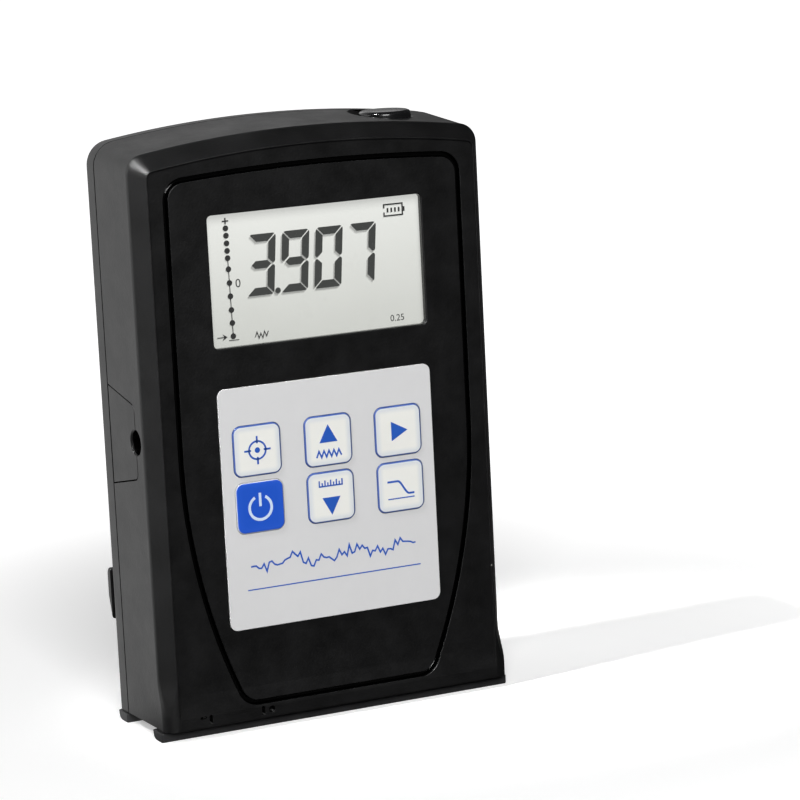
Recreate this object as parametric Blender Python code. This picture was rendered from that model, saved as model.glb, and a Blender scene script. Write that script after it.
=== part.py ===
"""Pocket surface roughness tester, modelled as an assembly of its real pieces.

A hand-held instrument that stands on two foot rails. The front housing carries
the display, the keypad and a push button on top. Inside, a motor turns a lead
screw that carries the pickup along a slot in the base, between the two rails.
A thumb slide on the back lifts the pickup clear of the surface.

Sizes are in millimetres and become metres when a mesh is made. The frame has
+Z up and +Y towards the back, with the origin under the middle of the box
round the whole instrument, on the plane that the rails rest on.
"""
import math

import bpy
import bmesh

MM = 0.001

# Overall sizes of the case
BODY_W = 67.2            # width at the joint between the two shells
BODY_TOP = 106.0         # top of the arch above the surface it stands on
BODY_D = 23.3            # front rim to back face
FRONT_SHELL_D = 18.0     # front rim to the joint
THUMB_REACH = 2.3        # how far the thumb slide stands off the back
FOOT_H = 2.0             # height of the rails under the case
ARCH_R = 200.0           # radius of the arched top, seen from the front
CORNER_R = 4.3           # top corner radius at the joint
BACK_R = 2.2             # rounding round the back face
SEAM_GAP = 0.3           # open line between the shells
FIT = 0.3                # clearance between pieces that touch
WALL = 2.2               # side and top walls
BASE_WALL = 2.4          # bottom wall
FRONT_WALL = 2.1         # front wall behind the face

# Edge bevel round the front, which runs out into a round edge near the base
BEVEL_W = 2.25
BEVEL_TOP_W = 2.6
BEVEL_D = 3.5
SIDE_DRAFT = 0.2
TOP_DRAFT = 1.1
FACE_CORNER_R = 1.3
EDGE_R = 2.6
RUNOUT_LOW = 4.5
RUNOUT_HIGH = 11.5

# Face details
FACE_STEP = 0.3          # face lies this far behind the rim
FACE_MARGIN = 0.3        # rim width inside the bevel
RAMP_LOW = 4.0           # the step ramps out between these heights
RAMP_HIGH = 8.0
GROOVE_W = 1.1
GROOVE_D = 0.9
GROOVE_INSET = 5.8       # side wall to the middle of the groove
GROOVE_DROP = 6.7        # top of the arch to the middle of the groove
GROOVE_LOW = 5.0
GROOVE_ARCH_R = 330.0
GROOVE_CORNER_R = 3.4
GROOVE_BEND_Z = 50.0     # below this the groove's sides curve inwards
GROOVE_SIDE_R = 110.0
GROOVE_FOOT_R = 3.6
MARK_D = 0.35            # depth of the travel marks
MARK_Z = 3.4
MARK_H = 1.6
MARK_W = 0.6
DASH_START = 2.0         # dash beside the first mark, from the stylus
DASH_END = 0.8
DASH_LOW = 0.2
DASH_HIGH = 0.7
DOT_X = 1.6              # dot beside the second mark, from the end of the stroke
DOT_R = 0.6

# Display
WINDOW_W = 40.7
WINDOW_H = 23.1
WINDOW_DROP = 26.25      # top of the arch to the middle of the window
WINDOW_R = 0.8
WINDOW_LIP = 1.1
LENS_MARGIN = 1.1        # lens beyond the opening on each side
LENS_T = 1.0
LCD_T = 2.0
BACKLIGHT_T = 1.2

# Keypad
LABEL_W = 40.9
LABEL_H = 42.8
LABEL_Z = 39.7
LABEL_R = 1.4
LABEL_T = 0.5
LABEL_PROUD = 0.15
KEY_W = 8.8
KEY_H = 8.7
KEY_R = 1.7
KEY_T = 0.7
KEY_PROUD = 0.15
KEY_PITCH_X = 13.6
KEY_TOP_ROW_Z = 49.8
KEY_PITCH_Z = 10.05
KEY_TRAVEL = 0.4
KEY_STEM_R = 1.5
SWITCH_W = 6.0
SWITCH_T = 2.1
PLUNGER_R = 1.3
PLUNGER_H = 0.4

# Top push button in its dish
BUTTON_INSET = 13.6      # from the right side
BUTTON_Y = -0.3
BUTTON_R = 4.7
BUTTON_RISE = 0.9
BUTTON_DOME = 0.7
BUTTON_TRAVEL = 0.8
DISH_R = 5.7
DISH_D = 0.9
FLANGE_R = 5.6
FLANGE_T = 0.8
NOTCH_H = 8.0            # room for the button and its switch in the rear shell's lip
BUTTON_STEM_R = 1.8
BUTTON_STEM_L = 0.6

# Charging jack in the left side, on the front edge of its cover insert
JACK_Y = -6.1
JACK_Z = 52.6
JACK_HOLE_R = 2.2
JACK_BORE_R = 1.9
JACK_BORE_L = 7.5
JACK_PIN_R = 0.6
JACK_L = 10.0
JACK_W = 6.6
JACK_H = 6.4
INSERT_T = 1.9
INSERT_H = 17.4
INSERT_TAPER = 2.3       # each end comes in by this much towards the front
INSERT_CORNER_R = 1.3

# Foot rails
RAIL_OVERHANG = 0.25     # each end beyond the case
FRONT_RAIL_BACKSET = 2.0
FRONT_RAIL_W = 4.3
REAR_RAIL_W = 4.2
RAIL_ROUND = 1.5
SPINE_W = 1.6
SPINE_H = 0.9
SPINE_INSET = 8.85       # rail's end to the end of its spine

# Pickup and its drive
PICKUP_Y = -0.45
STYLUS_INSET = 8.4       # from the left side
PIVOT_AHEAD = 12.0       # stylus to pivot
PIVOT_Z = 8.0
PIVOT_R = 0.8
PICKUP_L = 13.4          # pivot to the end of the nose
PICKUP_W = 3.8
PICKUP_H = 3.0
NOSE_L = 4.0
NOSE_LOW = 1.8
TIP_CLEAR = 0.35         # tip and skid above the standing surface at rest
TIP_R = 0.5
SKID_R = 1.3
SKID_BEHIND = 1.5        # skid behind the stylus
STROKE = 10.0
LIFT_TRAVEL = 2.5
LUG_REACH = 10.4         # lug from the pivot
LUG_W = 1.6
LUG_H = 1.4
BAR_T = 1.2
BAR_LOW = 6.3
BAR_W = 1.5
BAR_SET_FORWARD = 3.05   # back of the leg to the front of the bar
BAR_PAST_PIVOT = 2.2
LEG_W = 2.6
SLOT_W = 5.0
SLOT_END_CLEAR = 2.2
SCREW_R = 1.2
ROD_R = 1.2
ROD_Z = 16.6
ROD_Y = -4.4
SCREW_Y = 0.6
FRAME_INSET = 3.0        # left end of the frame from the left side
CARRIAGE_END_CLEAR = 4.7
FRAME_T = 1.2
FRAME_FRONT = -6.6
FRAME_BACK = 2.6
FRAME_TOP = 22.0
CARRIAGE_L = 9.0
CARRIAGE_H = 6.4
CARRIAGE_MARGIN = 0.9    # wall of the carriage round its bores
CHEEK_T = 1.4
CHEEK_L = 4.4
CHEEK_DROP = 1.8         # cheeks below the pivot's axis
GEARBOX_R = 6.0
GEARBOX_L = 8.5
MOTOR_L = 12.5
MOTOR_R = 5.6

# Thumb slide on the back
THUMB_INSET = 4.7        # middle of the piece from the left side
THUMB_W = 9.0
THUMB_LOW = 18.0
THUMB_H = 9.2
THUMB_RAMP = 4.0         # height of its tapered lower part
THUMB_ROUND = 1.0
SHANK_W = 3.4
SHANK_H = 2.4
SHANK_LOW = 21.2
PLATE_T = 1.2
PLATE_W = 4.4
PLATE_H = 5.6

# Boards, cell and fasteners
BOARD_T = 1.6
BOARD_INSET = 5.2
BOARD_LOW = 26.0
BOARD_DROP = 9.4
CELL_W = 34.0
CELL_H = 50.0
CELL_T = 5.8
CELL_Z = 61.0
CELL_R = 2.4
RIB_T = 1.4
BUZZER_R = 6.0
BUZZER_T = 2.6
BUZZER_INSET = 19.6      # from the left side
BUZZER_DROP = 16.0
TOP_SWITCH_W = 6.0
TOP_SWITCH_H = 3.4
TOP_SWITCH_D = 5.4
BOSS_R = 2.8
BOSS_INSET = 7.4
BOSS_LOW = 32.0
BOSS_DROP = 13.5
SCREW_SHANK_R = 1.0
SCREW_L = 17.0
HEAD_R = 2.2
HEAD_H = 1.4
HEAD_DEPTH = 1.9
JOINED = 0.6             # how far a rib or post runs into the wall that carries it

# Planes and heights that follow from the sizes
FRONT_Y = -(BODY_D + THUMB_REACH) / 2
FACE_Y = FRONT_Y + FACE_STEP
INNER_FRONT_Y = FACE_Y + FRONT_WALL
BEVEL_BACK_Y = FRONT_Y + BEVEL_D + 1.2
SEAM_Y = FRONT_Y + FRONT_SHELL_D
REAR_Y = FRONT_Y + BODY_D
REAR_JOINT_Y = SEAM_Y + SEAM_GAP
REAR_FLOOR_Y = REAR_Y - WALL
HALF_W = BODY_W / 2
GROOVE_HALF = HALF_W - GROOVE_INSET
GROOVE_TOP = BODY_TOP - GROOVE_DROP
WINDOW_Z = BODY_TOP - WINDOW_DROP
BUTTON_X = HALF_W - BUTTON_INSET
RAIL_L = BODY_W + 2 * RAIL_OVERHANG
SPINE_L = RAIL_L - 2 * SPINE_INSET
STYLUS_X = STYLUS_INSET - HALF_W
PIVOT_X = STYLUS_X + PIVOT_AHEAD
BAR_END_X = PIVOT_X + BAR_PAST_PIVOT
FRAME_LEFT = FRAME_INSET - HALF_W
FRAME_RIGHT = PIVOT_X + CARRIAGE_L / 2 + STROKE + CARRIAGE_END_CLEAR + FRAME_T
THUMB_X = THUMB_INSET - HALF_W
BOARD_HALF_W = HALF_W - BOARD_INSET
BOARD_TOP = BODY_TOP - BOARD_DROP
BUZZER_X = BUZZER_INSET - HALF_W
BUZZER_Z = BODY_TOP - BUZZER_DROP
BOSS_X = HALF_W - BOSS_INSET
BOSS_HIGH = BODY_TOP - BOSS_DROP
FLOOR_Z = FOOT_H + BASE_WALL
LIP_T = 1.2
LIP_L = 2.0
LIP_IN = WALL + FIT
LENS_Y = FACE_Y + WINDOW_LIP + FIT
LCD_Y = LENS_Y + LENS_T + FIT
BACKLIGHT_Y = LCD_Y + LCD_T + FIT
BOARD_Y = BACKLIGHT_Y + BACKLIGHT_T + FIT
BOARD_BACK_Y = BOARD_Y + BOARD_T
LABEL_Y = FACE_Y - LABEL_PROUD
LABEL_FLOOR_Y = LABEL_Y + LABEL_T + FIT
KEY_Y = LABEL_Y - KEY_PROUD
KEY_BACK_Y = KEY_Y + KEY_T
KEY_FLOOR_Y = KEY_BACK_Y + KEY_TRAVEL + FIT
SWITCH_Y = BOARD_Y - FIT - SWITCH_T
PLUNGER_Y = SWITCH_Y - PLUNGER_H
STEM_END_Y = PLUNGER_Y - FIT - KEY_TRAVEL
POST_END_Y = BOARD_Y - FIT
REAR_POST_END_Y = BOARD_BACK_Y + FIT
NOSE_X = PIVOT_X - PICKUP_L
LEG_Y = REAR_FLOOR_Y - FIT - PLATE_T - FIT - BAR_T
PLATE_Y = REAR_FLOOR_Y - FIT - PLATE_T
BAR_Y = LEG_Y + BAR_T - BAR_SET_FORWARD
BAR_TOP = BAR_LOW + BAR_T
KEY_SITES = (("calibrate", -1, 0), ("power", -1, 1), ("up", 0, 0),
             ("down", 0, 1), ("start", 1, 0), ("cutoff", 1, 1))
ROUND = 28               # sides of a round piece


def arch_top(x, y):
    """Height of the case's top at x and y, behind the bevel."""
    draft = TOP_DRAFT * (SEAM_Y - y) / (SEAM_Y - BEVEL_BACK_Y)
    return BODY_TOP - draft - x * x / (2 * ARCH_R)


def side_at(y):
    """Half width of the case at depth y, behind the bevel."""
    return HALF_W - SIDE_DRAFT * (SEAM_Y - y) / (SEAM_Y - BEVEL_BACK_Y)


def clear_scene():
    for old in list(bpy.data.objects):
        bpy.data.objects.remove(old, do_unlink=True)


def material(name, rgb, roughness, metallic=0.0):
    mat = bpy.data.materials.new(name)
    mat.use_nodes = True
    shader = mat.node_tree.nodes["Principled BSDF"]
    shader.inputs["Base Color"].default_value = (*rgb, 1.0)
    shader.inputs["Roughness"].default_value = roughness
    shader.inputs["Metallic"].default_value = metallic
    return mat


def put(name, bm, mat=None, origin=(0.0, 0.0, 0.0), parent=None):
    """Make an object from a mesh in millimetres, with its origin at a given point."""
    bmesh.ops.recalc_face_normals(bm, faces=bm.faces)
    for v in bm.verts:
        for i in range(3):
            v.co[i] = (v.co[i] - origin[i]) * MM
    mesh = bpy.data.meshes.new(name)
    bm.to_mesh(mesh)
    bm.free()
    mesh.shade_smooth()
    mesh.set_sharp_from_angle(angle=math.radians(32))
    obj = bpy.data.objects.new(name, mesh)
    obj.location = [c * MM for c in origin]
    if parent is not None:
        obj.parent = parent
        obj.location = [c * MM - p for c, p in zip(origin, parent.location)]
    bpy.context.collection.objects.link(obj)
    if mat is not None:
        mesh.materials.append(mat)
    return obj


def world_origin(obj):
    """Where an object's origin lies in the model, in millimetres."""
    place = obj.location.copy()
    if obj.parent is not None:
        place += obj.parent.location
    return [c / MM for c in place]


def pivot(name, origin):
    """Empty on a joint's axis, which carries the pieces of a moving group."""
    empty = bpy.data.objects.new(name, None)
    empty.location = [c * MM for c in origin]
    bpy.context.collection.objects.link(empty)
    return empty


def boolean(obj, name, parts, operation):
    """Cut away or add shapes that don't touch each other, in one step."""
    whole = bmesh.new()
    for bm in parts:
        mesh = bpy.data.meshes.new("shape")
        bmesh.ops.recalc_face_normals(bm, faces=bm.faces)
        bm.to_mesh(mesh)
        bm.free()
        whole.from_mesh(mesh)
        bpy.data.meshes.remove(mesh)
    tool = put(f"{obj.name}_{name}", whole, None, world_origin(obj), obj.parent)
    mod = obj.modifiers.new(name, "BOOLEAN")
    mod.object = tool
    mod.operation = operation
    mod.solver = "EXACT"
    tool.hide_render = True
    tool.display_type = "WIRE"


def settle_cuts():
    """Make the cuts part of each mesh and mark the sharp edges that they leave."""
    graph = bpy.context.evaluated_depsgraph_get()
    carved = [obj for obj in bpy.data.objects if obj.modifiers]
    meshes = [bpy.data.meshes.new_from_object(obj.evaluated_get(graph)) for obj in carved]
    for obj, mesh in zip(carved, meshes):
        obj.modifiers.clear()
        mesh.name = obj.name
        mesh.shade_smooth()
        mesh.set_sharp_from_angle(angle=math.radians(32))
        obj.data = mesh
    for tool in [obj for obj in bpy.data.objects if obj.hide_render]:
        bpy.data.objects.remove(tool, do_unlink=True)


def cut(obj, name, *parts):
    boolean(obj, name, parts, "DIFFERENCE")


def join(obj, name, *parts):
    boolean(obj, name, parts, "UNION")


def loft(rings):
    """Closed solid through rings of the same number of points, capped at both ends."""
    bm = bmesh.new()
    rows = [[bm.verts.new(p) for p in ring] for ring in rings]
    count = len(rows[0])
    for low, high in zip(rows, rows[1:]):
        for i in range(count):
            j = (i + 1) % count
            bm.faces.new((low[i], low[j], high[j], high[i]))
    bm.faces.new(rows[0])
    bm.faces.new(rows[-1])
    return bm


def band(outer, inner, y0, y1):
    """Closed frame of material between two outlines of the front view."""
    bm = bmesh.new()
    rows = []
    for outline, y in ((outer, y0), (outer, y1), (inner, y1), (inner, y0)):
        rows.append([bm.verts.new((x, y, z)) for x, z in outline])
    count = len(outer)
    for k in range(4):
        low, high = rows[k], rows[(k + 1) % 4]
        for i in range(count):
            j = (i + 1) % count
            bm.faces.new((low[i], low[j], high[j], high[i]))
    return bm


def prism(outline, axis, low, high):
    """Extrude an outline along X, Y or Z (0, 1, 2); it is given in the other two axes."""
    rings = []
    for level in (low, high):
        ring = []
        for p in outline:
            point = list(p)
            point.insert(axis, level)
            ring.append(point)
        rings.append(ring)
    return loft(rings)


def box(x0, x1, y0, y1, z0, z1):
    return prism([(x0, y0), (x1, y0), (x1, y1), (x0, y1)], 2, z0, z1)


def arc(cx, cy, r, start, end, steps):
    """Points on an arc, angles in degrees, both ends included."""
    out = []
    for i in range(steps + 1):
        a = math.radians(start + (end - start) * i / steps)
        out.append((cx + r * math.cos(a), cy + r * math.sin(a)))
    return out


def rounded_rect(cx, cz, w, h, r, steps=5):
    out = []
    for k, (sx, sz) in enumerate(((1, 1), (-1, 1), (-1, -1), (1, -1))):
        out += arc(cx + sx * (w / 2 - r), cz + sz * (h / 2 - r), r, 90 * k, 90 * (k + 1), steps)
    return out


def turned(profile, axis, centre, sides=ROUND):
    """Solid of revolution from (radius, level) pairs along an axis through centre."""
    rings = []
    for r, level in profile:
        ring = []
        for u, v in arc(centre[0], centre[1], r, 0, 360, sides)[:-1]:
            point = [u, v]
            point.insert(axis, level)
            ring.append(point)
        rings.append(ring)
    return loft(rings)


def rod(axis, centre, r, low, high, sides=ROUND):
    return turned([(r, low), (r, high)], axis, centre, sides)


def corner_arc(half, arch_r, arch_z, r, steps):
    """Top right corner between a straight side and an arch, with the angle it ends at."""
    x = half - r
    z = arch_z + math.sqrt((arch_r - r) ** 2 - x * x)
    turn = math.degrees(math.atan2(z - arch_z, x))
    return arc(x, z, r, 0, turn, steps), turn


def mirrored(right, crown):
    return right + crown + [(-x, z) for x, z in reversed(right)]


def case_outline(side, top, low, r):
    """Front view of the case, drawn in by side and top, with its bottom at height low."""
    half = HALF_W - side
    corner, turn = corner_arc(half, ARCH_R - top, BODY_TOP - ARCH_R, r, 7)
    steps = 6
    right = [(half, low + (RUNOUT_HIGH - low) * i / steps) for i in range(steps + 1)]
    crown = arc(0, BODY_TOP - ARCH_R, ARCH_R - top, turn, 180 - turn, 20)[1:-1]
    return mirrored(right + corner, crown)


def case_ring(side, top, lift, r, y):
    return [(x, y, z) for x, z in case_outline(side, top, FOOT_H + lift, r)]


def bevel_ring(share_in, share_back, degrees, lift=0.0):
    """Ring of the front edge: straight bevel above, quarter round near the base."""
    side = SIDE_DRAFT + BEVEL_W * share_in
    depth = BEVEL_D * share_back
    a = math.radians(degrees)
    round_side = EDGE_R * (1 - math.sin(a))
    round_depth = EDGE_R * (1 - math.cos(a))
    r = FACE_CORNER_R + (CORNER_R - 1.0 - FACE_CORNER_R) * (1 - share_in)
    ring = []
    for x, z in case_outline(side, TOP_DRAFT + BEVEL_TOP_W * share_in, FOOT_H + lift, r):
        t = min(max((RUNOUT_HIGH - z) / (RUNOUT_HIGH - RUNOUT_LOW), 0.0), 1.0)
        t = t * t * (3 - 2 * t)
        grow = (side - round_side) * t
        ring.append((x + math.copysign(grow, x), FRONT_Y + depth + (round_depth - depth) * t, z))
    return ring


def front_shell_mesh():
    """Front shell: bevelled outside, flat rim at the joint, hollow inside."""
    return loft([
        bevel_ring(1.0, 0.0, 0, 0.4),
        bevel_ring(0.66, 0.34, 28),
        bevel_ring(0.36, 0.64, 50),
        bevel_ring(0.14, 0.86, 70),
        bevel_ring(0.03, 1.05, 90),
        case_ring(SIDE_DRAFT, TOP_DRAFT, 0.0, CORNER_R - 1.0, BEVEL_BACK_Y),
        case_ring(0.0, 0.0, 0.0, CORNER_R, SEAM_Y),
        case_ring(WALL, WALL, BASE_WALL, CORNER_R - 1.4, SEAM_Y),
        case_ring(WALL + SIDE_DRAFT, WALL + TOP_DRAFT, BASE_WALL, CORNER_R - 1.8, INNER_FRONT_Y + 0.8),
        case_ring(WALL + BEVEL_W * 0.7, WALL + TOP_DRAFT + BEVEL_TOP_W * 0.6, BASE_WALL,
                  FACE_CORNER_R, INNER_FRONT_Y),
    ])


def rear_shell_mesh():
    """Rear shell: rounded back edge outside, a lip that enters the front shell inside."""
    inner = LIP_IN + LIP_T
    rings = [
        case_ring(WALL, WALL, BASE_WALL, CORNER_R - 1.7, REAR_FLOOR_Y),
        case_ring(WALL, WALL, BASE_WALL, CORNER_R - 1.7, REAR_JOINT_Y + LIP_T),
        case_ring(inner, inner, inner, 1.2, REAR_JOINT_Y + 0.4),
        case_ring(inner, inner, inner, 1.2, REAR_JOINT_Y - LIP_L),
        case_ring(LIP_IN, LIP_IN, BASE_WALL + FIT, CORNER_R - 1.7, REAR_JOINT_Y - LIP_L),
        case_ring(LIP_IN, LIP_IN, BASE_WALL + FIT, CORNER_R - 1.7, REAR_JOINT_Y),
        case_ring(0.0, 0.0, 0.0, CORNER_R, REAR_JOINT_Y),
    ]
    for degrees in (0, 25, 50, 70, 90):
        a = math.radians(degrees)
        draw = BACK_R * (1 - math.cos(a))
        y = REAR_Y - BACK_R * (1 - math.sin(a))
        rings.append(case_ring(draw, draw, draw * 0.4, CORNER_R - draw * 0.4, y))
    return loft(rings)


def panel_outline(draw):
    """Outline of the face panel, drawn in by a distance; a negative one grows it."""
    corner, turn = corner_arc(GROOVE_HALF - draw, GROOVE_ARCH_R - draw,
                              GROOVE_TOP - GROOVE_ARCH_R, GROOVE_CORNER_R - draw, 7)
    side_x = GROOVE_HALF - GROOVE_SIDE_R
    foot_z = GROOVE_LOW + GROOVE_FOOT_R
    foot_x = side_x + math.sqrt((GROOVE_SIDE_R - GROOVE_FOOT_R) ** 2 - (foot_z - GROOVE_BEND_Z) ** 2)
    bend = math.degrees(math.atan2(foot_z - GROOVE_BEND_Z, foot_x - side_x))
    right = arc(foot_x, foot_z, GROOVE_FOOT_R - draw, -90, bend, 7)
    right += arc(side_x, GROOVE_BEND_Z, GROOVE_SIDE_R - draw, bend, 0, 10)[1:]
    crown = arc(0, GROOVE_TOP - GROOVE_ARCH_R, GROOVE_ARCH_R - draw, turn, 180 - turn, 16)[1:-1]
    return mirrored(right + corner, crown)


def insert_ring(gap, depth):
    """Outline of the jack cover on the left side, grown by gap and sunk by depth."""
    slope = INSERT_TAPER / (SEAM_Y - JACK_Y)
    front = JACK_Y - gap
    back = SEAM_Y + (3.0 if gap else 0.0)
    high = JACK_Z + INSERT_H / 2 + gap * math.hypot(1.0, slope)
    r = INSERT_CORNER_R + gap
    tilt = math.degrees(math.atan(slope))
    # The corner sits where its arc meets both the front edge and the sloping edge
    corner_y = front + r
    corner_z = high - slope * (SEAM_Y - corner_y) - r / math.cos(math.radians(tilt))
    upper = [(back, high + slope * (back - SEAM_Y))]
    upper += arc(corner_y, corner_z, r, 90 + tilt, 180, 5)
    outline = upper + [(y, 2 * JACK_Z - z) for y, z in reversed(upper)]
    return [(depth - side_at(y), y, z) for y, z in outline]


def key_centre(column, row):
    return column * KEY_PITCH_X, KEY_TOP_ROW_Z - row * KEY_PITCH_Z


def key_prisms(grow, y0, y1, steps=4):
    """One rounded prism at each key, grown all round."""
    out = []
    for _, column, row in KEY_SITES:
        x, z = key_centre(column, row)
        outline = rounded_rect(x, z, KEY_W + 2 * grow, KEY_H + 2 * grow, KEY_R + grow, steps)
        out.append(prism(outline, 1, y0, y1))
    return out


def flange_top():
    """Top of the button's flange, just under the sloping wall."""
    return arch_top(BUTTON_X + FLANGE_R, BUTTON_Y - FLANGE_R) - WALL - FIT


def boss_sites():
    return [(side * BOSS_X, z) for z in (BOSS_HIGH, BOSS_LOW) for side in (-1, 1)]


def boss_rods(r, y0, y1, sides=18):
    return [rod(1, site, r, y0, y1, sides) for site in boss_sites()]


def front_rail_span():
    return FRONT_Y + FRONT_RAIL_BACKSET, FRONT_Y + FRONT_RAIL_BACKSET + FRONT_RAIL_W


def rear_rail_span():
    return REAR_JOINT_Y, REAR_JOINT_Y + REAR_RAIL_W


def spine(span, grow, top):
    """Rib on top of a rail, or the groove in the case that it sits in."""
    y0 = sum(span) / 2 - SPINE_W / 2 - grow
    return box(-SPINE_L / 2 - grow, SPINE_L / 2 + grow, y0, y0 + SPINE_W + 2 * grow, FOOT_H - FIT - 0.5, top)


def slot_span():
    """Ends of the pickup's slot in the base, clear of the nose over its whole stroke."""
    return NOSE_X - SLOT_END_CLEAR, NOSE_X + NOSE_L + STROKE + SLOT_END_CLEAR


def make_front_housing(mat):
    shell = put("front_housing", front_shell_mesh(), mat)
    join(shell, "posts", *boss_rods(BOSS_R, INNER_FRONT_Y - JOINED, POST_END_Y))
    cut(shell, "post_bores", *boss_rods(SCREW_SHANK_R + FIT, INNER_FRONT_Y + JOINED, BOARD_Y + 1.0, 14))

    # The face lies a little behind the rim and ramps out near the base
    ahead = 0.2
    ramp = (RAMP_HIGH - RAMP_LOW) / FACE_STEP
    side = SIDE_DRAFT + BEVEL_W + FACE_MARGIN
    top = TOP_DRAFT + BEVEL_TOP_W + FACE_MARGIN
    rings = []
    for y, low in ((FRONT_Y - ahead, RAMP_LOW - ramp * ahead), (FACE_Y, RAMP_HIGH)):
        rings.append(case_ring(side, top, low - FOOT_H, FACE_CORNER_R, y))
    cut(shell, "face_step", loft(rings))
    cut(shell, "face_groove", band(panel_outline(-GROOVE_W / 2), panel_outline(GROOVE_W / 2),
                                   FRONT_Y - 1.0, FACE_Y + GROOVE_D))

    # Display: opening through the face, with a rebate behind it for the lens
    cut(shell, "window", prism(rounded_rect(0, WINDOW_Z, WINDOW_W, WINDOW_H, WINDOW_R),
                               1, FRONT_Y - 1.0, INNER_FRONT_Y + 1.0))
    grow = 2 * (LENS_MARGIN + FIT)
    rebate = rounded_rect(0, WINDOW_Z, WINDOW_W + grow, WINDOW_H + grow, WINDOW_R + 0.6)
    cut(shell, "lens_rebate", prism(rebate, 1, FACE_Y + WINDOW_LIP, INNER_FRONT_Y + 1.0))

    # Keypad: shallow recess, a pocket under each key and a hole for its stem
    recess = rounded_rect(0, LABEL_Z, LABEL_W + 2 * FIT, LABEL_H + 2 * FIT, LABEL_R + FIT)
    cut(shell, "label_recess", prism(recess, 1, FRONT_Y - 1.0, LABEL_FLOOR_Y))
    cut(shell, "key_pockets", *key_prisms(FIT, FRONT_Y - 1.0, KEY_FLOOR_Y))
    holes = [rod(1, key_centre(column, row), KEY_STEM_R + FIT, FRONT_Y - 1.0, INNER_FRONT_Y + 1.0, 14)
             for _, column, row in KEY_SITES]
    cut(shell, "key_holes", *holes)

    # Top button: dish round it and a hole for the cap
    surface = arch_top(BUTTON_X, BUTTON_Y)
    wall_r = BUTTON_R + FIT
    slope = (DISH_R - wall_r) / DISH_D
    cut(shell, "button_dish", turned([(DISH_R + slope * 1.2, surface + 1.2), (DISH_R, surface),
                                      (wall_r, surface - DISH_D)], 2, (BUTTON_X, BUTTON_Y), 40))
    cut(shell, "button_hole", rod(2, (BUTTON_X, BUTTON_Y), wall_r, surface - 2 * WALL, surface + 3.0, 40))

    # Left side: cut-out for the jack cover, and the jack's own round hole
    cut(shell, "cover_opening", loft([insert_ring(FIT, -2.0), insert_ring(FIT, WALL + 1.0)]))
    cut(shell, "jack_hole", rod(0, (JACK_Y, JACK_Z), JACK_HOLE_R, -HALF_W - 1.0, -HALF_W + WALL + 1.0, 28))

    # Base: slot for the pickup and a groove that seats the front rail
    x0, x1 = slot_span()
    cut(shell, "pickup_slot", prism(rounded_rect((x0 + x1) / 2, PICKUP_Y, x1 - x0, SLOT_W, 1.2, 3),
                                    2, 0.0, FLOOR_Z + 1.0))
    cut(shell, "rail_groove", spine(front_rail_span(), FIT, FOOT_H + SPINE_H))

    # Marks for the start and the end of the stroke, below the stylus
    low, high = MARK_Z - MARK_H / 2, MARK_Z + MARK_H / 2
    marks = [box(x - MARK_W / 2, x + MARK_W / 2, FRONT_Y - 1.0, FRONT_Y + MARK_D, low, high)
             for x in (STYLUS_X, STYLUS_X + STROKE)]
    marks.append(box(STYLUS_X - DASH_START, STYLUS_X - DASH_END, FRONT_Y - 1.0, FRONT_Y + MARK_D,
                     MARK_Z + DASH_LOW, MARK_Z + DASH_HIGH))
    marks.append(rod(1, (STYLUS_X + STROKE + DOT_X, MARK_Z), DOT_R, FRONT_Y - 1.0, FRONT_Y + MARK_D, 12))
    cut(shell, "travel_marks", *marks)
    return shell


def make_rear_housing(mat):
    shell = put("rear_housing", rear_shell_mesh(), mat)
    join(shell, "posts", *boss_rods(BOSS_R, REAR_POST_END_Y, REAR_FLOOR_Y + JOINED))
    ribs = []
    for side in (-1, 1):
        z = CELL_Z + side * (CELL_H / 2 + FIT + RIB_T / 2)
        ribs.append(box(-CELL_W / 4, CELL_W / 4, REAR_FLOOR_Y - CELL_T, REAR_FLOOR_Y + 0.5,
                        z - RIB_T / 2, z + RIB_T / 2))
    motor_x = FRAME_RIGHT + FIT + GEARBOX_L + FIT
    for x in (FRAME_RIGHT + FIT + GEARBOX_L / 2, motor_x + MOTOR_L / 2):
        ribs.append(box(x - RIB_T / 2, x + RIB_T / 2, SCREW_Y, REAR_FLOOR_Y + 0.5,
                        ROD_Z - MOTOR_R * 0.8, ROD_Z + MOTOR_R * 0.8))
    join(shell, "ribs", *ribs)
    cut(shell, "gearbox_seat", rod(0, (SCREW_Y, ROD_Z), GEARBOX_R + FIT,
                                   FRAME_RIGHT, motor_x - FIT / 2))
    cut(shell, "motor_seat", rod(0, (SCREW_Y, ROD_Z), MOTOR_R + FIT, motor_x - FIT, motor_x + MOTOR_L + FIT))
    cut(shell, "screw_holes", *boss_rods(SCREW_SHANK_R + FIT, REAR_POST_END_Y - 1.0, REAR_Y + 1.0, 14))
    cut(shell, "head_recesses", *boss_rods(HEAD_R + FIT, REAR_Y - HEAD_DEPTH, REAR_Y + 1.0))
    cut(shell, "thumb_slot", prism(rounded_rect(THUMB_X, SHANK_LOW + (SHANK_H + LIFT_TRAVEL) / 2,
                                                SHANK_W + 2 * FIT, SHANK_H + LIFT_TRAVEL + 2 * FIT, 0.6, 3),
                                   1, REAR_FLOOR_Y - 1.0, REAR_Y + 1.0))
    cut(shell, "rail_groove", spine(rear_rail_span(), FIT, FOOT_H + SPINE_H))

    # The lip stands back from the top button and its flange
    step = flange_top() + 2 * FIT
    cut(shell, "button_notch", turned([(FLANGE_R + FIT, step - NOTCH_H), (FLANGE_R + FIT, step),
                                       (BUTTON_R + FIT, step), (BUTTON_R + FIT, BODY_TOP + 1.0)],
                                      2, (BUTTON_X, BUTTON_Y), 40))
    return shell


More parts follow.
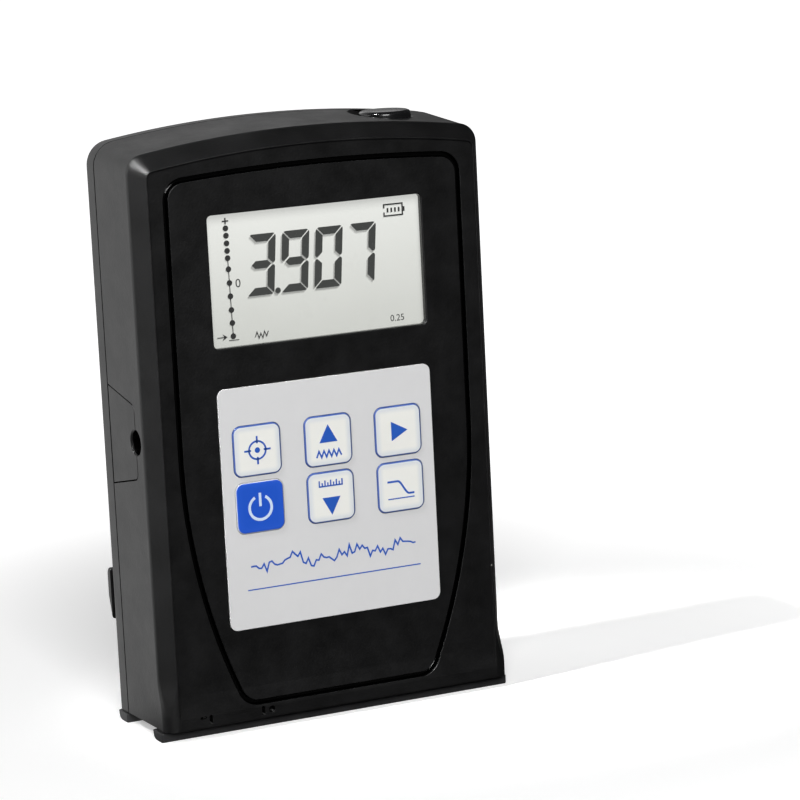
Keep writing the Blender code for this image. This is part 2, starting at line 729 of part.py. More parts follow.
def make_display(glass, panel, diffuser):
    for name, mat, y, thick, grow, r in (
            ("display_window", glass, LENS_Y, LENS_T, LENS_MARGIN, WINDOW_R + 0.4),
            ("lcd_panel", panel, LCD_Y, LCD_T, LENS_MARGIN, 0.5),
            ("lcd_backlight", diffuser, BACKLIGHT_Y, BACKLIGHT_T, LENS_MARGIN - 0.6, 0.5)):
        outline = rounded_rect(0, WINDOW_Z, WINDOW_W + 2 * grow, WINDOW_H + 2 * grow, r)
        put(name, prism(outline, 1, y, y + thick), mat)


def make_keypad(sheet, key_mat, power_mat, switch_mat):
    overlay = put("keypad_overlay", prism(rounded_rect(0, LABEL_Z, LABEL_W, LABEL_H, LABEL_R),
                                          1, LABEL_Y, LABEL_Y + LABEL_T), sheet)
    cut(overlay, "key_windows", *key_prisms(FIT, FRONT_Y - 1.0, LABEL_FLOOR_Y + 1.0))
    edge = 0.25
    for name, column, row in KEY_SITES:
        x, z = key_centre(column, row)
        rings = []
        for y, draw in ((KEY_Y, edge), (KEY_Y + edge, 0.0), (KEY_BACK_Y, 0.0)):
            outline = rounded_rect(x, z, KEY_W - 2 * draw, KEY_H - 2 * draw, KEY_R - draw, 4)
            rings.append([(px, y, pz) for px, pz in outline])
        mat = power_mat if name == "power" else key_mat
        key = put(f"key_{name}", loft(rings), mat, (x, KEY_Y, z))
        join(key, "stem", rod(1, (x, z), KEY_STEM_R, KEY_BACK_Y - 0.2, STEM_END_Y, 14))

        half = SWITCH_W / 2
        switch = put(f"switch_{name}", box(x - half, x + half, SWITCH_Y, SWITCH_Y + SWITCH_T,
                                           z - half, z + half), switch_mat)
        join(switch, "plunger", rod(1, (x, z), PLUNGER_R, PLUNGER_Y, SWITCH_Y + 0.5, 14))


def make_top_button(mat, switch_mat):
    """Domed cap with a flange that keeps it in the case, above its own switch."""
    x, y = BUTTON_X, BUTTON_Y
    surface = arch_top(x, y)
    crown = surface + BUTTON_RISE
    top = flange_top()
    profile = [(0.35 * BUTTON_R, crown), (0.62 * BUTTON_R, crown - 0.16 * BUTTON_DOME),
               (0.82 * BUTTON_R, crown - 0.42 * BUTTON_DOME), (0.95 * BUTTON_R, crown - 0.75 * BUTTON_DOME),
               (BUTTON_R, crown - BUTTON_DOME - 0.25), (BUTTON_R, top), (FLANGE_R, top),
               (FLANGE_R, top - FLANGE_T), (BUTTON_STEM_R, top - FLANGE_T),
               (BUTTON_STEM_R, top - FLANGE_T - BUTTON_STEM_L)]
    put("top_button", turned(profile, 2, (x, y), 40), mat, (x, y, surface))

    plunger_top = top - FLANGE_T - BUTTON_STEM_L - FIT - BUTTON_TRAVEL
    body_top = plunger_top - PLUNGER_H
    half = TOP_SWITCH_W / 2
    y0 = REAR_POST_END_Y
    body = box(x - half, x + half, y0, y0 + TOP_SWITCH_D, body_top - TOP_SWITCH_H, body_top)
    switch = put("top_switch", body, switch_mat)
    join(switch, "plunger", rod(2, (x, y), PLUNGER_R, body_top - 0.5, plunger_top, 14))


def make_board(mat, cover_mat, part_mat):
    board = put("main_board", prism([(-BOARD_HALF_W, BOARD_LOW), (BOARD_HALF_W, BOARD_LOW),
                                     (BOARD_HALF_W, BOARD_TOP - 2.0), (BOARD_HALF_W - 2.0, BOARD_TOP),
                                     (2.0 - BOARD_HALF_W, BOARD_TOP), (-BOARD_HALF_W, BOARD_TOP - 2.0)],
                                    1, BOARD_Y, BOARD_BACK_Y), mat)
    notch = 1.0
    left = WALL + FIT - side_at(JACK_Y - JACK_W / 2)
    block_right = left + JACK_L
    cut(board, "jack_notch", box(-BOARD_HALF_W - 2.0, block_right + notch, BOARD_Y - 1.0, BOARD_BACK_Y + 1.0,
                                 JACK_Z - JACK_H / 2 - notch, JACK_Z + JACK_H / 2 + notch))
    cut(board, "screw_holes", *boss_rods(SCREW_SHANK_R + 2 * FIT, BOARD_Y - 1.0, BOARD_BACK_Y + 1.0, 14))
    base = BOARD_BACK_Y + FIT
    profile = [(BUZZER_R, base), (BUZZER_R, base + BUZZER_T - 0.3), (BUZZER_R - 0.3, base + BUZZER_T)]
    put("buzzer", turned(profile, 1, (BUZZER_X, BUZZER_Z), 24), part_mat)

    # Cover insert in the left wall, bored where the jack's hole crosses its edge
    cover = put("jack_cover", loft([insert_ring(0.0, 0.0), insert_ring(0.0, INSERT_T)]), cover_mat)
    cut(cover, "jack_hole", rod(0, (JACK_Y, JACK_Z), JACK_HOLE_R, -HALF_W - 1.0, -HALF_W + WALL + 1.0, 28))

    jack = put("charging_jack", box(left, block_right, JACK_Y - JACK_W / 2, JACK_Y + JACK_W / 2,
                                    JACK_Z - JACK_H / 2, JACK_Z + JACK_H / 2), part_mat)
    cut(jack, "socket", rod(0, (JACK_Y, JACK_Z), JACK_BORE_R, left - 1.0, left + JACK_BORE_L, 24))
    join(jack, "pin", rod(0, (JACK_Y, JACK_Z), JACK_PIN_R, left + 0.8, left + JACK_BORE_L + 0.5, 12))


def make_rails(mat):
    """Foot rails, rounded along their rear lower edge, with a rib into the case."""
    top = FOOT_H - FIT
    for name, span in (("front_rail", front_rail_span()), ("rear_rail", rear_rail_span())):
        y0, y1 = span
        edge = 0.3
        outline = [(y0 + edge, 0.0)] + arc(y1 - RAIL_ROUND, RAIL_ROUND, RAIL_ROUND, -90, 0, 6)
        outline += [(y1, top), (y0, top), (y0, edge)]
        rail = put(name, prism(outline, 0, -RAIL_L / 2, RAIL_L / 2), mat)
        join(rail, "spine", spine(span, 0.0, FOOT_H + SPINE_H - FIT))


def make_pickup(body_mat, steel, diamond):
    """Pickup arm that hangs on the carriage's pivot, its nose down through the base."""
    half = PICKUP_W / 2
    y0, y1 = PICKUP_Y - half, PICKUP_Y + half
    low, high = PIVOT_Z - PICKUP_H / 2, PIVOT_Z + PICKUP_H / 2
    origin = (PIVOT_X, PICKUP_Y, PIVOT_Z)
    tilt = pivot("pickup_pivot", origin)
    outline = [(NOSE_X, NOSE_LOW + 0.6), (NOSE_X + 0.6, NOSE_LOW), (NOSE_X + NOSE_L, NOSE_LOW),
               (NOSE_X + NOSE_L + 0.8, low)]
    outline += arc(PIVOT_X, PIVOT_Z, PICKUP_H / 2, -90, 90, 8)
    outline += [(NOSE_X + 2.0, high), (NOSE_X, high - 1.6)]
    body = put("pickup_body", prism(outline, 1, y0, y1), body_mat, origin, tilt)
    lug_x = PIVOT_X - LUG_REACH
    lug_low = BAR_TOP + FIT
    join(body, "lug", box(lug_x - LUG_W / 2, lug_x + LUG_W / 2, y1 - 0.5, BAR_Y + BAR_W - 0.2,
                          lug_low, lug_low + LUG_H))
    cut(body, "pivot_bore", rod(1, (PIVOT_X, PIVOT_Z), PIVOT_R + FIT, y0 - 1.0, y1 + 1.0, 16))

    top = NOSE_LOW - FIT
    skid_x = STYLUS_X + SKID_BEHIND
    dome = [(0.3 * SKID_R, TIP_CLEAR), (0.7 * SKID_R, TIP_CLEAR + 0.12), (0.9 * SKID_R, TIP_CLEAR + 0.35),
            (SKID_R, TIP_CLEAR + 0.7), (SKID_R, top)]
    put("skid", turned(dome, 2, (skid_x, PICKUP_Y), 20), steel, (skid_x, PICKUP_Y, top), tilt)
    tip_x = STYLUS_X - FIT
    put("stylus_tip", turned([(0.08, TIP_CLEAR), (TIP_R, TIP_CLEAR + 0.55), (TIP_R, top)],
                             2, (tip_x, PICKUP_Y), 14), diamond, (tip_x, PICKUP_Y, top), tilt)


def make_drive(frame_mat, steel, brass, motor_mat, carriage_mat):
    """Frame, guide rod and lead screw that carry the pickup's carriage along X."""
    mid = ROD_Z
    left, right = FRAME_LEFT, FRAME_RIGHT
    frame = put("drive_frame", box(left, right, FRAME_FRONT, FRAME_BACK, FLOOR_Z + FIT, FRAME_TOP), frame_mat)
    cut(frame, "bay", box(left + FRAME_T, right - FRAME_T, FRAME_FRONT - 1.0, FRAME_BACK + 1.0,
                          FLOOR_Z - 1.0, FRAME_TOP - FRAME_T))
    cut(frame, "bearings", rod(0, (ROD_Y, mid), ROD_R + FIT, left - 1.0, right + 1.0, 18),
        rod(0, (SCREW_Y, mid), SCREW_R + FIT, left - 1.0, right + 1.0, 18))
    put("guide_rod", rod(0, (ROD_Y, mid), ROD_R, left + FIT, right - FIT, 18), steel)

    # The lead screw has a plain round shank; its thread is too fine to model here
    origin = (right, SCREW_Y, mid)
    put("lead_screw", rod(0, (SCREW_Y, mid), SCREW_R, left + FIT, right, 18), brass, origin)
    start = right + FIT
    profile = [(GEARBOX_R - 0.3, start), (GEARBOX_R, start + 0.3), (GEARBOX_R, start + GEARBOX_L)]
    put("gearbox", turned(profile, 0, (SCREW_Y, mid)), brass)
    start += GEARBOX_L + FIT
    motor = put("drive_motor", turned([(MOTOR_R, start), (MOTOR_R, start + MOTOR_L - 0.6),
                                       (MOTOR_R - 0.6, start + MOTOR_L)], 0, (SCREW_Y, mid)), motor_mat)
    for k, side in enumerate((-1, 1)):
        flat = SCREW_Y + side * (MOTOR_R - 1.0)
        cut(motor, f"flat_{k}", box(start + 1.0, start + MOTOR_L + 1.0, min(flat, flat + side * 3.0),
                                    max(flat, flat + side * 3.0), mid - MOTOR_R - 1.0, mid + MOTOR_R + 1.0))

    low, high = mid - CARRIAGE_H / 2, mid + CARRIAGE_H / 2
    front = ROD_Y - ROD_R - FIT - CARRIAGE_MARGIN
    back = SCREW_Y + SCREW_R + FIT + CARRIAGE_MARGIN
    x0, x1 = PIVOT_X - CARRIAGE_L / 2, PIVOT_X + CARRIAGE_L / 2
    carriage = put("carriage", box(x0, x1, front, back, low, high), carriage_mat, (PIVOT_X, PICKUP_Y, mid))
    inner = PICKUP_W / 2 + FIT
    cheeks = []
    for side in (-1, 1):
        ya = PICKUP_Y + side * inner
        yb = PICKUP_Y + side * (inner + CHEEK_T)
        cheeks.append(box(PIVOT_X - CHEEK_L / 2, PIVOT_X + CHEEK_L / 2, min(ya, yb), max(ya, yb),
                          PIVOT_Z - CHEEK_DROP, low + 1.0))
    join(carriage, "cheeks", *cheeks)
    cut(carriage, "bores", rod(0, (ROD_Y, mid), ROD_R + FIT, x0 - 1.0, x1 + 1.0, 18),
        rod(0, (SCREW_Y, mid), SCREW_R + FIT, x0 - 1.0, x1 + 1.0, 18))
    reach = inner + CHEEK_T
    cut(carriage, "pin_bores", rod(1, (PIVOT_X, PIVOT_Z), PIVOT_R + FIT, PICKUP_Y - reach - 1.0,
                                   PICKUP_Y + reach + 1.0, 16))
    put("pivot_pin", rod(1, (PIVOT_X, PIVOT_Z), PIVOT_R, PICKUP_Y - reach, PICKUP_Y + reach, 16), steel,
        (PIVOT_X, PICKUP_Y, PIVOT_Z))


def make_thumb_slide(mat, steel):
    """Thumb piece on the back, whose shank passes a slot and lifts the bar inside."""
    back = REAR_Y + THUMB_REACH
    front = REAR_Y + FIT
    r = THUMB_ROUND
    top = THUMB_LOW + THUMB_H
    outline = [(front, THUMB_LOW), (front + 0.3, THUMB_LOW), (back, THUMB_LOW + THUMB_RAMP)]
    outline += arc(back - r, top - r, r, 0, 90, 6) + [(front, top)]
    x0, x1 = THUMB_X - THUMB_W / 2, THUMB_X + THUMB_W / 2
    origin = (THUMB_X, REAR_Y, THUMB_LOW)
    knob = put("thumb_slide", prism(outline, 0, x0, x1), mat, origin)
    z1 = SHANK_LOW + SHANK_H
    mid = SHANK_LOW + SHANK_H / 2
    join(knob, "shank", box(THUMB_X - SHANK_W / 2, THUMB_X + SHANK_W / 2, PLATE_Y + 0.4, front + 0.4,
                            SHANK_LOW, z1))
    join(knob, "plate", box(THUMB_X - PLATE_W / 2, THUMB_X + PLATE_W / 2, PLATE_Y, PLATE_Y + PLATE_T,
                            mid - PLATE_H / 2, mid + PLATE_H / 2))

    leg_x = THUMB_X + PLATE_W / 2 - LEG_W
    bar = put("lift_bar", box(leg_x, leg_x + LEG_W, LEG_Y, LEG_Y + BAR_T, BAR_LOW, mid + PLATE_H / 2), steel,
              origin)
    join(bar, "foot", box(leg_x + 0.1, leg_x + LEG_W - 0.1, BAR_Y + 0.6, LEG_Y + 0.6,
                          BAR_LOW + 0.1, BAR_TOP - 0.1))
    join(bar, "rail", box(leg_x, BAR_END_X, BAR_Y, BAR_Y + BAR_W, BAR_LOW, BAR_TOP))


def make_battery(mat):
    """Flat rechargeable pack with rounded long edges, between two ribs."""
    y1 = REAR_FLOOR_Y - FIT
    outline = rounded_rect(0.0, y1 - CELL_T / 2, CELL_W, CELL_T, CELL_R, 5)
    put("battery_pack", prism(outline, 2, CELL_Z - CELL_H / 2, CELL_Z + CELL_H / 2), mat)


def make_case_screws(mat):
    floor = REAR_Y - HEAD_DEPTH + FIT
    for k, site in enumerate(boss_sites()):
        profile = [(SCREW_SHANK_R, floor - SCREW_L), (SCREW_SHANK_R, floor), (HEAD_R, floor),
                   (HEAD_R, floor + HEAD_H - 0.4), (HEAD_R - 0.4, floor + HEAD_H)]
        put(f"case_screw_{k + 1}", turned(profile, 1, site, 16), mat)


def build():
    clear_scene()
    case = material("case_black", (0.020, 0.020, 0.022), 0.42)
    rubber = material("rail_black", (0.035, 0.035, 0.037), 0.55)
    cap = material("button_black", (0.025, 0.025, 0.027), 0.28)
    glass = material("lens_clear", (0.70, 0.71, 0.69), 0.06)
    panel = material("lcd_grey", (0.62, 0.64, 0.58), 0.25)
    diffuser = material("diffuser_white", (0.85, 0.86, 0.84), 0.5)
    sheet = material("overlay_pale", (0.66, 0.67, 0.69), 0.35)
    key = material("key_pale", (0.76, 0.76, 0.72), 0.35)
    power = material("key_blue", (0.020, 0.090, 0.500), 0.35)
    switch = material("switch_black", (0.03, 0.03, 0.03), 0.5)
    board = material("board_green", (0.02, 0.16, 0.07), 0.5)
    steel = material("steel", (0.62, 0.62, 0.60), 0.28, 1.0)
    brass = material("brass", (0.74, 0.58, 0.28), 0.32, 1.0)
    motor = material("motor_steel", (0.60, 0.60, 0.60), 0.35, 1.0)
    nylon = material("carriage_white", (0.80, 0.80, 0.76), 0.45)
    cell = material("cell_blue", (0.05, 0.12, 0.35), 0.45)

    make_front_housing(case)
    make_rear_housing(case)
    make_display(glass, panel, diffuser)
    make_keypad(sheet, key, power, switch)
    make_top_button(cap, switch)
    make_board(board, case, switch)
    make_rails(rubber)
    make_pickup(case, steel, steel)
    make_drive(motor, steel, brass, motor, nylon)
    make_thumb_slide(case, steel)
    make_battery(cell)
    make_case_screws(steel)
    settle_cuts()


build()
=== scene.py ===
"""Pocket surface roughness tester: fine surfaces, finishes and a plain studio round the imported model.

Lengths in the shape functions are millimetres; a mesh is made in metres. +Z is up, +Y points to the back.
"""
import math

import bmesh
import bpy
import numpy as np
from bpy.props import FloatProperty, FloatVectorProperty, PointerProperty, StringProperty
from mathutils import Matrix, Vector


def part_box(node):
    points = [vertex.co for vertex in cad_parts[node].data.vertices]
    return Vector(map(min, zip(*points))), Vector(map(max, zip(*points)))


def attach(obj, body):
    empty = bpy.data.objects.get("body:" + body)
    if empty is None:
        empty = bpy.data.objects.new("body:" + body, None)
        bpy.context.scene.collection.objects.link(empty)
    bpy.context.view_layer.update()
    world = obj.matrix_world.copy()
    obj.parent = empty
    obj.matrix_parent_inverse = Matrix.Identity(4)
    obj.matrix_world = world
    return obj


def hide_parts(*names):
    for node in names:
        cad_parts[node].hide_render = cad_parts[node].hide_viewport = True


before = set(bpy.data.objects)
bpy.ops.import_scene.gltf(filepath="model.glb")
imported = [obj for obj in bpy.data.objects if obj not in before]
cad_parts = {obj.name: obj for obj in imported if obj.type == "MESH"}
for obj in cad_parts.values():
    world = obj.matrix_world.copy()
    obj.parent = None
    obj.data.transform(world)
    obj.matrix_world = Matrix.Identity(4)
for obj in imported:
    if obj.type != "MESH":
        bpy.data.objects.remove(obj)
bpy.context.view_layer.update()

bl_info = {
    "name": "Surface roughness tester",
    "version": (1, 0, 0),
    "blender": (4, 5, 0),
    "location": "3D View > Sidebar > Tester",
    "description": "Builds a pocket surface roughness tester with its finishes and studio",
    "category": "Add Mesh",
}

MM = 0.001


def node_box(name):
    """Lowest and highest corner of a node, in millimetres."""
    return tuple(np.array(c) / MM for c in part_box(name))


# Case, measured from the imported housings
FRONT_LOW, FRONT_HIGH = node_box("front_housing")
FRONT_Y, SEAM_Y = FRONT_LOW[1], FRONT_HIGH[1]
HALF_W, FOOT_H, BODY_TOP = FRONT_HIGH[0], FRONT_LOW[2], FRONT_HIGH[2]
REAR_Y = node_box("rear_housing")[1][1]
ARCH_R, CORNER_R, BACK_R = 200.0, 4.3, 2.2
WALL, BASE_WALL, FIT = 2.2, 2.4, 0.3
BEVEL_W, BEVEL_TOP_W, BEVEL_D, BEVEL_RUN = 2.25, 2.6, 3.5, 1.2
SIDE_DRAFT, TOP_DRAFT, FACE_CORNER_R, EDGE_R = 0.2, 1.1, 1.3, 2.6
RUNOUT_LOW, RUNOUT_HIGH = 4.5, 11.5
RAMP_LOW, RAMP_HIGH = 4.0, 8.0
FACE_STEP, FACE_MARGIN = 0.3, 0.3
BEVEL_BACK_Y = FRONT_Y + BEVEL_D + BEVEL_RUN
FACE_Y = FRONT_Y + FACE_STEP
INNER_FRONT_Y = FACE_Y + 2.1
REAR_JOINT_Y, REAR_FLOOR_Y = SEAM_Y + 0.3, REAR_Y - WALL
# Face line round the panel
GROOVE_W, GROOVE_D, GROOVE_HALF, GROOVE_TOP, GROOVE_LOW = 0.95, 1.4, 27.8, 98.8, 5.0
GROOVE_ARCH_R, GROOVE_CORNER_R, GROOVE_BEND_Z, GROOVE_SIDE_R, GROOVE_FOOT_R = 330.0, 3.4, 50.0, 110.0, 3.6
# Display, keypad, button and jack
WINDOW_W, WINDOW_H, WINDOW_Z, WINDOW_R, WINDOW_LIP = 40.7, 23.1, 79.75, 0.8, 1.1
LABEL_W, LABEL_H, LABEL_Z, LABEL_R = 40.9, 42.8, 39.7, 1.4
LABEL_Y, KEY_Y = node_box("keypad_overlay")[0][1], node_box("key_up")[0][1]
KEY_W, KEY_H, KEY_R = 9.1, 9.05, 1.5
KEYS = {name: tuple(0.5 * (lo + hi) for lo, hi in [(node_box("key_" + name)[0][i], node_box("key_" + name)[1][i])
                                                   for i in (0, 2)])
        for name in ("calibrate", "power", "up", "down", "start", "cutoff")}
BUTTON_X, BUTTON_Y, BUTTON_R, BUTTON_DOME, DISH_R, DISH_D = 20.0, -0.3, 4.7, 0.7, 5.7, 0.9
JACK_Y, JACK_Z, JACK_HOLE_R = -6.1, 52.6, 2.2
INSERT_T, INSERT_H, INSERT_TAPER, INSERT_CORNER_R = 1.9, 17.4, 2.3, 1.3
STYLUS_X, STROKE = -25.2, 10.0
SCREWS = [(side * 26.2, z) for z in (92.5, 32.0) for side in (-1, 1)]


# ---------------------------------------------------------------- curves and surfaces

def arc(cx, cz, r, start, end, steps):
    """Points (cx + r cos a, cz + r sin a), with the angle a running from start to end in degrees."""
    a = np.radians(np.linspace(start, end, steps + 1))
    return np.stack([cx + r * np.cos(a), cz + r * np.sin(a)], 1)


def rounded_rect(cx, cz, w, h, r, steps=8):
    """Rectangle w by h about a centre, with a quarter arc of radius r at each corner."""
    return np.concatenate([arc(cx + sx * (w / 2 - r), cz + sz * (h / 2 - r), r, 90 * k, 90 * k + 90, steps)
                           for k, (sx, sz) in enumerate(((1, 1), (-1, 1), (-1, -1), (1, -1)))])


def filleted(points, radii, steps=6):
    """Polyline with rounded corners: about a corner's centre c, the arc from tangent point a to b is
    c + (a sin((1-s)w) + b sin(s w)) / sin w, for s from 0 to 1 and w the angle between a and b."""
    points = np.asarray(points, float)
    path = [points[:1]]
    for before, corner, after, r in zip(points, points[1:], points[2:], radii):
        if r <= 0:
            path.append(corner[None])
            continue
        u = (before - corner) / np.linalg.norm(before - corner)
        v = (after - corner) / np.linalg.norm(after - corner)
        half = math.acos(np.clip(u @ v, -1, 1)) / 2
        centre = corner + (u + v) / np.linalg.norm(u + v) * r / math.sin(half)
        a, b = corner + u * r / math.tan(half) - centre, corner + v * r / math.tan(half) - centre
        w = math.acos(np.clip(a @ b / r ** 2, -1, 1))
        s = np.linspace(0, 1, steps + 1)[:, None]
        path.append(centre + (a * np.sin((1 - s) * w) + b * np.sin(s * w)) / math.sin(w))
    return np.concatenate(path + [points[-1:]])


def at_depth(outline, y):
    """Outline of the front view set at depth y."""
    return np.insert(np.asarray(outline, float), 1, y, axis=1)


def mouth(r, y, steps=4, air=0.12):
    """Rounded rim of an opening, as (growth, depth) rows from outside to the straight wall: a circle of radius r
    tangent to wall and face, left at 70 degrees along its tangent so that it crosses the face cleanly."""
    a = np.radians(np.linspace(70, 0, steps + 1))
    rim = np.stack([r * (1 - np.cos(a)), y + r * (1 - np.sin(a))], 1)
    out = air / math.cos(a[0])
    return np.concatenate([rim[:1] + [[out * math.sin(a[0]), -out * math.cos(a[0])]], rim])


def skin(name, rings, loop=False):
    """Closed surface through rings, rings[i, j] being point j of ring i. Each quad joins the points (i, j),
    (i, j+1), (i+1, j+1) and (i+1, j), with j closing round; the ends are capped, or joined when loop is set."""
    rings = np.asarray(rings, float)
    rows, cols = rings.shape[:2]
    i = np.arange(rows if loop else rows - 1)[:, None]
    j = np.arange(cols)[None, :]
    k, n = (i + 1) % rows, (j + 1) % cols
    faces = np.stack([i * cols + j, i * cols + n, k * cols + n, k * cols + j], -1).reshape(-1, 4).tolist()
    if not loop:
        faces += [list(range(cols))[::-1], list(range((rows - 1) * cols, rows * cols))]
    return surface(name, rings.reshape(-1, 3), faces)


def surface(name, points, faces):
    """Mesh object from points in millimetres, with its faces turned outwards."""
    mesh = bpy.data.meshes.new(name)
    mesh.from_pydata((points * MM).tolist(), [], faces)
    bm = bmesh.new()
    bm.from_mesh(mesh)
    bmesh.ops.recalc_face_normals(bm, faces=bm.faces)
    bm.to_mesh(mesh)
    bm.free()
    obj = bpy.data.objects.new(name, mesh)
    bpy.context.scene.collection.objects.link(obj)
    return obj


def turned(name, profile, axis, centre, sides=96):
    """Surface of revolution: point (i, j) lies at radius r_i and level l_i of the profile and at angle 2 pi j/n."""
    profile = np.asarray(profile, float)
    a = np.linspace(0, 2 * np.pi, sides, endpoint=False)
    u = centre[0] + profile[:, :1] * np.cos(a)
    v = centre[1] + profile[:, :1] * np.sin(a)
    level = np.broadcast_to(profile[:, 1:], u.shape)
    rings = [u, v]
    rings.insert(axis, level)
    return skin(name, np.stack(rings, -1))


def prism(name, outline, axis, low, high):
    """Outline carried straight along an axis."""
    outline = np.asarray(outline, float)
    return skin(name, np.stack([np.insert(outline, axis, level, axis=1) for level in (low, high)]))


def block(name, x0, x1, y0, y1, z0, z1):
    return prism(name, [(x0, y0), (x1, y0), (x1, y1), (x0, y1)], 2, z0, z1)


def volume(obj):
    bm = bmesh.new()
    bm.from_mesh(obj.data)
    size = bm.calc_volume()
    bm.free()
    return size


def carve(obj, *tools, operation="DIFFERENCE"):
    """One Boolean with all the tools, which don't touch each other; they are used up."""
    before = volume(obj)
    bm = bmesh.new()
    for tool in tools:
        bm.from_mesh(tool.data)
    bm.to_mesh(tools[0].data)
    bm.free()
    mod = obj.modifiers.new("carve", "BOOLEAN")
    mod.object, mod.operation, mod.solver = tools[0], operation, "EXACT"
    settle(obj)
    for tool in tools:
        bpy.data.objects.remove(tool)
    if volume(obj) < 0.5 * before:
        raise RuntimeError(f"the Boolean on {obj.name} lost its body")


def settle(obj):
    """Make an object's modifiers part of its mesh."""
    mesh = bpy.data.meshes.new_from_object(obj.evaluated_get(bpy.context.evaluated_depsgraph_get()))
    obj.modifiers.clear()
    obj.data = mesh
    mesh.name = obj.name


def dress(obj, mat, body, slot, *nodes, crease=35.0):
    """Smooth shading up to a crease angle, normals weighted by face area, then finish, body and nodes."""
    mesh = obj.data
    mesh.shade_smooth()
    mesh.set_sharp_from_angle(angle=math.radians(crease))
    mod = obj.modifiers.new("weigh", "WEIGHTED_NORMAL")
    mod.keep_sharp = True
    settle(obj)
    obj.data.materials.clear()
    obj.data.materials.append(mat)
    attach(obj, body)
    if nodes:
        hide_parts(*nodes)
    return obj


# ---------------------------------------------------------------- shader parts

def add(tree, kind, inputs=None, **settings):
    """New node; an input that is given a socket is linked to it, any other value is set."""
    node = tree.nodes.new(kind)
    for key, value in settings.items():
        setattr(node, key, value)
    for key, value in (inputs or {}).items():
        if isinstance(value, bpy.types.NodeSocket):
            tree.links.new(value, node.inputs[key])
        else:
            node.inputs[key].default_value = value
    return node


def maths(tree, operation, *values, clamp=False):
    return add(tree, "ShaderNodeMath", dict(enumerate(values)), operation=operation, use_clamp=clamp).outputs[0]


def spread(tree, value, low, high, to_low=0.0, to_high=1.0, smooth=False):
    """Map a value's span onto another, held at its ends."""
    return add(tree, "ShaderNodeMapRange", {"Value": value, "From Min": low, "From Max": high, "To Min": to_low,
                                            "To Max": to_high}, clamp=True,
               interpolation_type="SMOOTHSTEP" if smooth else "LINEAR").outputs["Result"]


def blend_colour(tree, share, a, b):
    node = add(tree, "ShaderNodeMix", {0: share}, data_type="RGBA")
    for k, value in ((6, a), (7, b)):
        if isinstance(value, bpy.types.NodeSocket):
            tree.links.new(value, node.inputs[k])
        else:
            node.inputs[k].default_value = (*value[:3], 1.0)
    return node.outputs[2]


def group(name, inputs, outputs):
    """Node group with named sockets, returned with its input sockets and its output node."""
    tree = bpy.data.node_groups.new(name, "ShaderNodeTree")
    for label, kind, value in inputs:
        tree.interface.new_socket(label, in_out="INPUT", socket_type=kind).default_value = value
    for label, kind in outputs:
        tree.interface.new_socket(label, in_out="OUTPUT", socket_type=kind)
    return tree, tree.nodes.new("NodeGroupInput").outputs, tree.nodes.new("NodeGroupOutput").inputs


REAL, POINT = "NodeSocketFloat", "NodeSocketVector"


def object_point(tree):
    return add(tree, "ShaderNodeTexCoord").outputs["Object"]


def moulded_grain():
    """Spark-eroded grain of a moulding: pits of one size over noise of half of it, a slow change of tone, and a few
    pale specks of dust."""
    tree, given, out = group("moulded_grain", [("Grain", REAL, 2500.0), ("Dust", REAL, 0.0)],
                             [("Height", REAL), ("Tone", REAL), ("Dust", REAL)])
    point = object_point(tree)
    pits = add(tree, "ShaderNodeTexVoronoi", {"Vector": point, "Scale": given["Grain"]},
               feature="SMOOTH_F1").outputs["Distance"]
    double = maths(tree, "MULTIPLY", given["Grain"], 2.1)
    noise = add(tree, "ShaderNodeTexNoise", {"Vector": point, "Scale": double, "Detail": 3.0}).outputs["Fac"]
    tree.links.new(maths(tree, "ADD", maths(tree, "MULTIPLY", pits, 0.7), maths(tree, "MULTIPLY", noise, 0.5)),
                   out["Height"])
    slow = add(tree, "ShaderNodeTexNoise", {"Vector": point, "Scale": 160.0, "Detail": 5.0, "Roughness": 0.7})
    tree.links.new(spread(tree, slow.outputs["Fac"], 0.3, 0.7), out["Tone"])
    cells = add(tree, "ShaderNodeTexVoronoi", {"Vector": point, "Scale": 160.0})
    near = spread(tree, cells.outputs["Distance"], 0.035, 0.02)
    rare = maths(tree, "GREATER_THAN", add(tree, "ShaderNodeSeparateColor",
                                           {0: cells.outputs["Color"]}).outputs[0], 0.93)
    tree.links.new(maths(tree, "MULTIPLY", maths(tree, "MULTIPLY", near, rare), given["Dust"]), out["Dust"])
    return tree


def drawn_metal():
    """Fine lines of drawn or ground metal: noise stretched along one axis by the Stretch vector."""
    tree, given, out = group("drawn_metal", [("Stretch", POINT, (60.0, 4000.0, 4000.0))],
                             [("Height", REAL), ("Tone", REAL)])
    lines = add(tree, "ShaderNodeVectorMath", {0: object_point(tree), 1: given["Stretch"]}, operation="MULTIPLY")
    fine = add(tree, "ShaderNodeTexNoise", {"Vector": lines.outputs[0], "Scale": 1.0, "Detail": 4.0}).outputs["Fac"]
    slow = add(tree, "ShaderNodeTexNoise", {"Vector": object_point(tree), "Scale": 300.0}).outputs["Fac"]
    tree.links.new(fine, out["Height"])
    tree.links.new(maths(tree, "ADD", maths(tree, "MULTIPLY", fine, 0.6), maths(tree, "MULTIPLY", slow, 0.4)),
                   out["Tone"])
    return tree


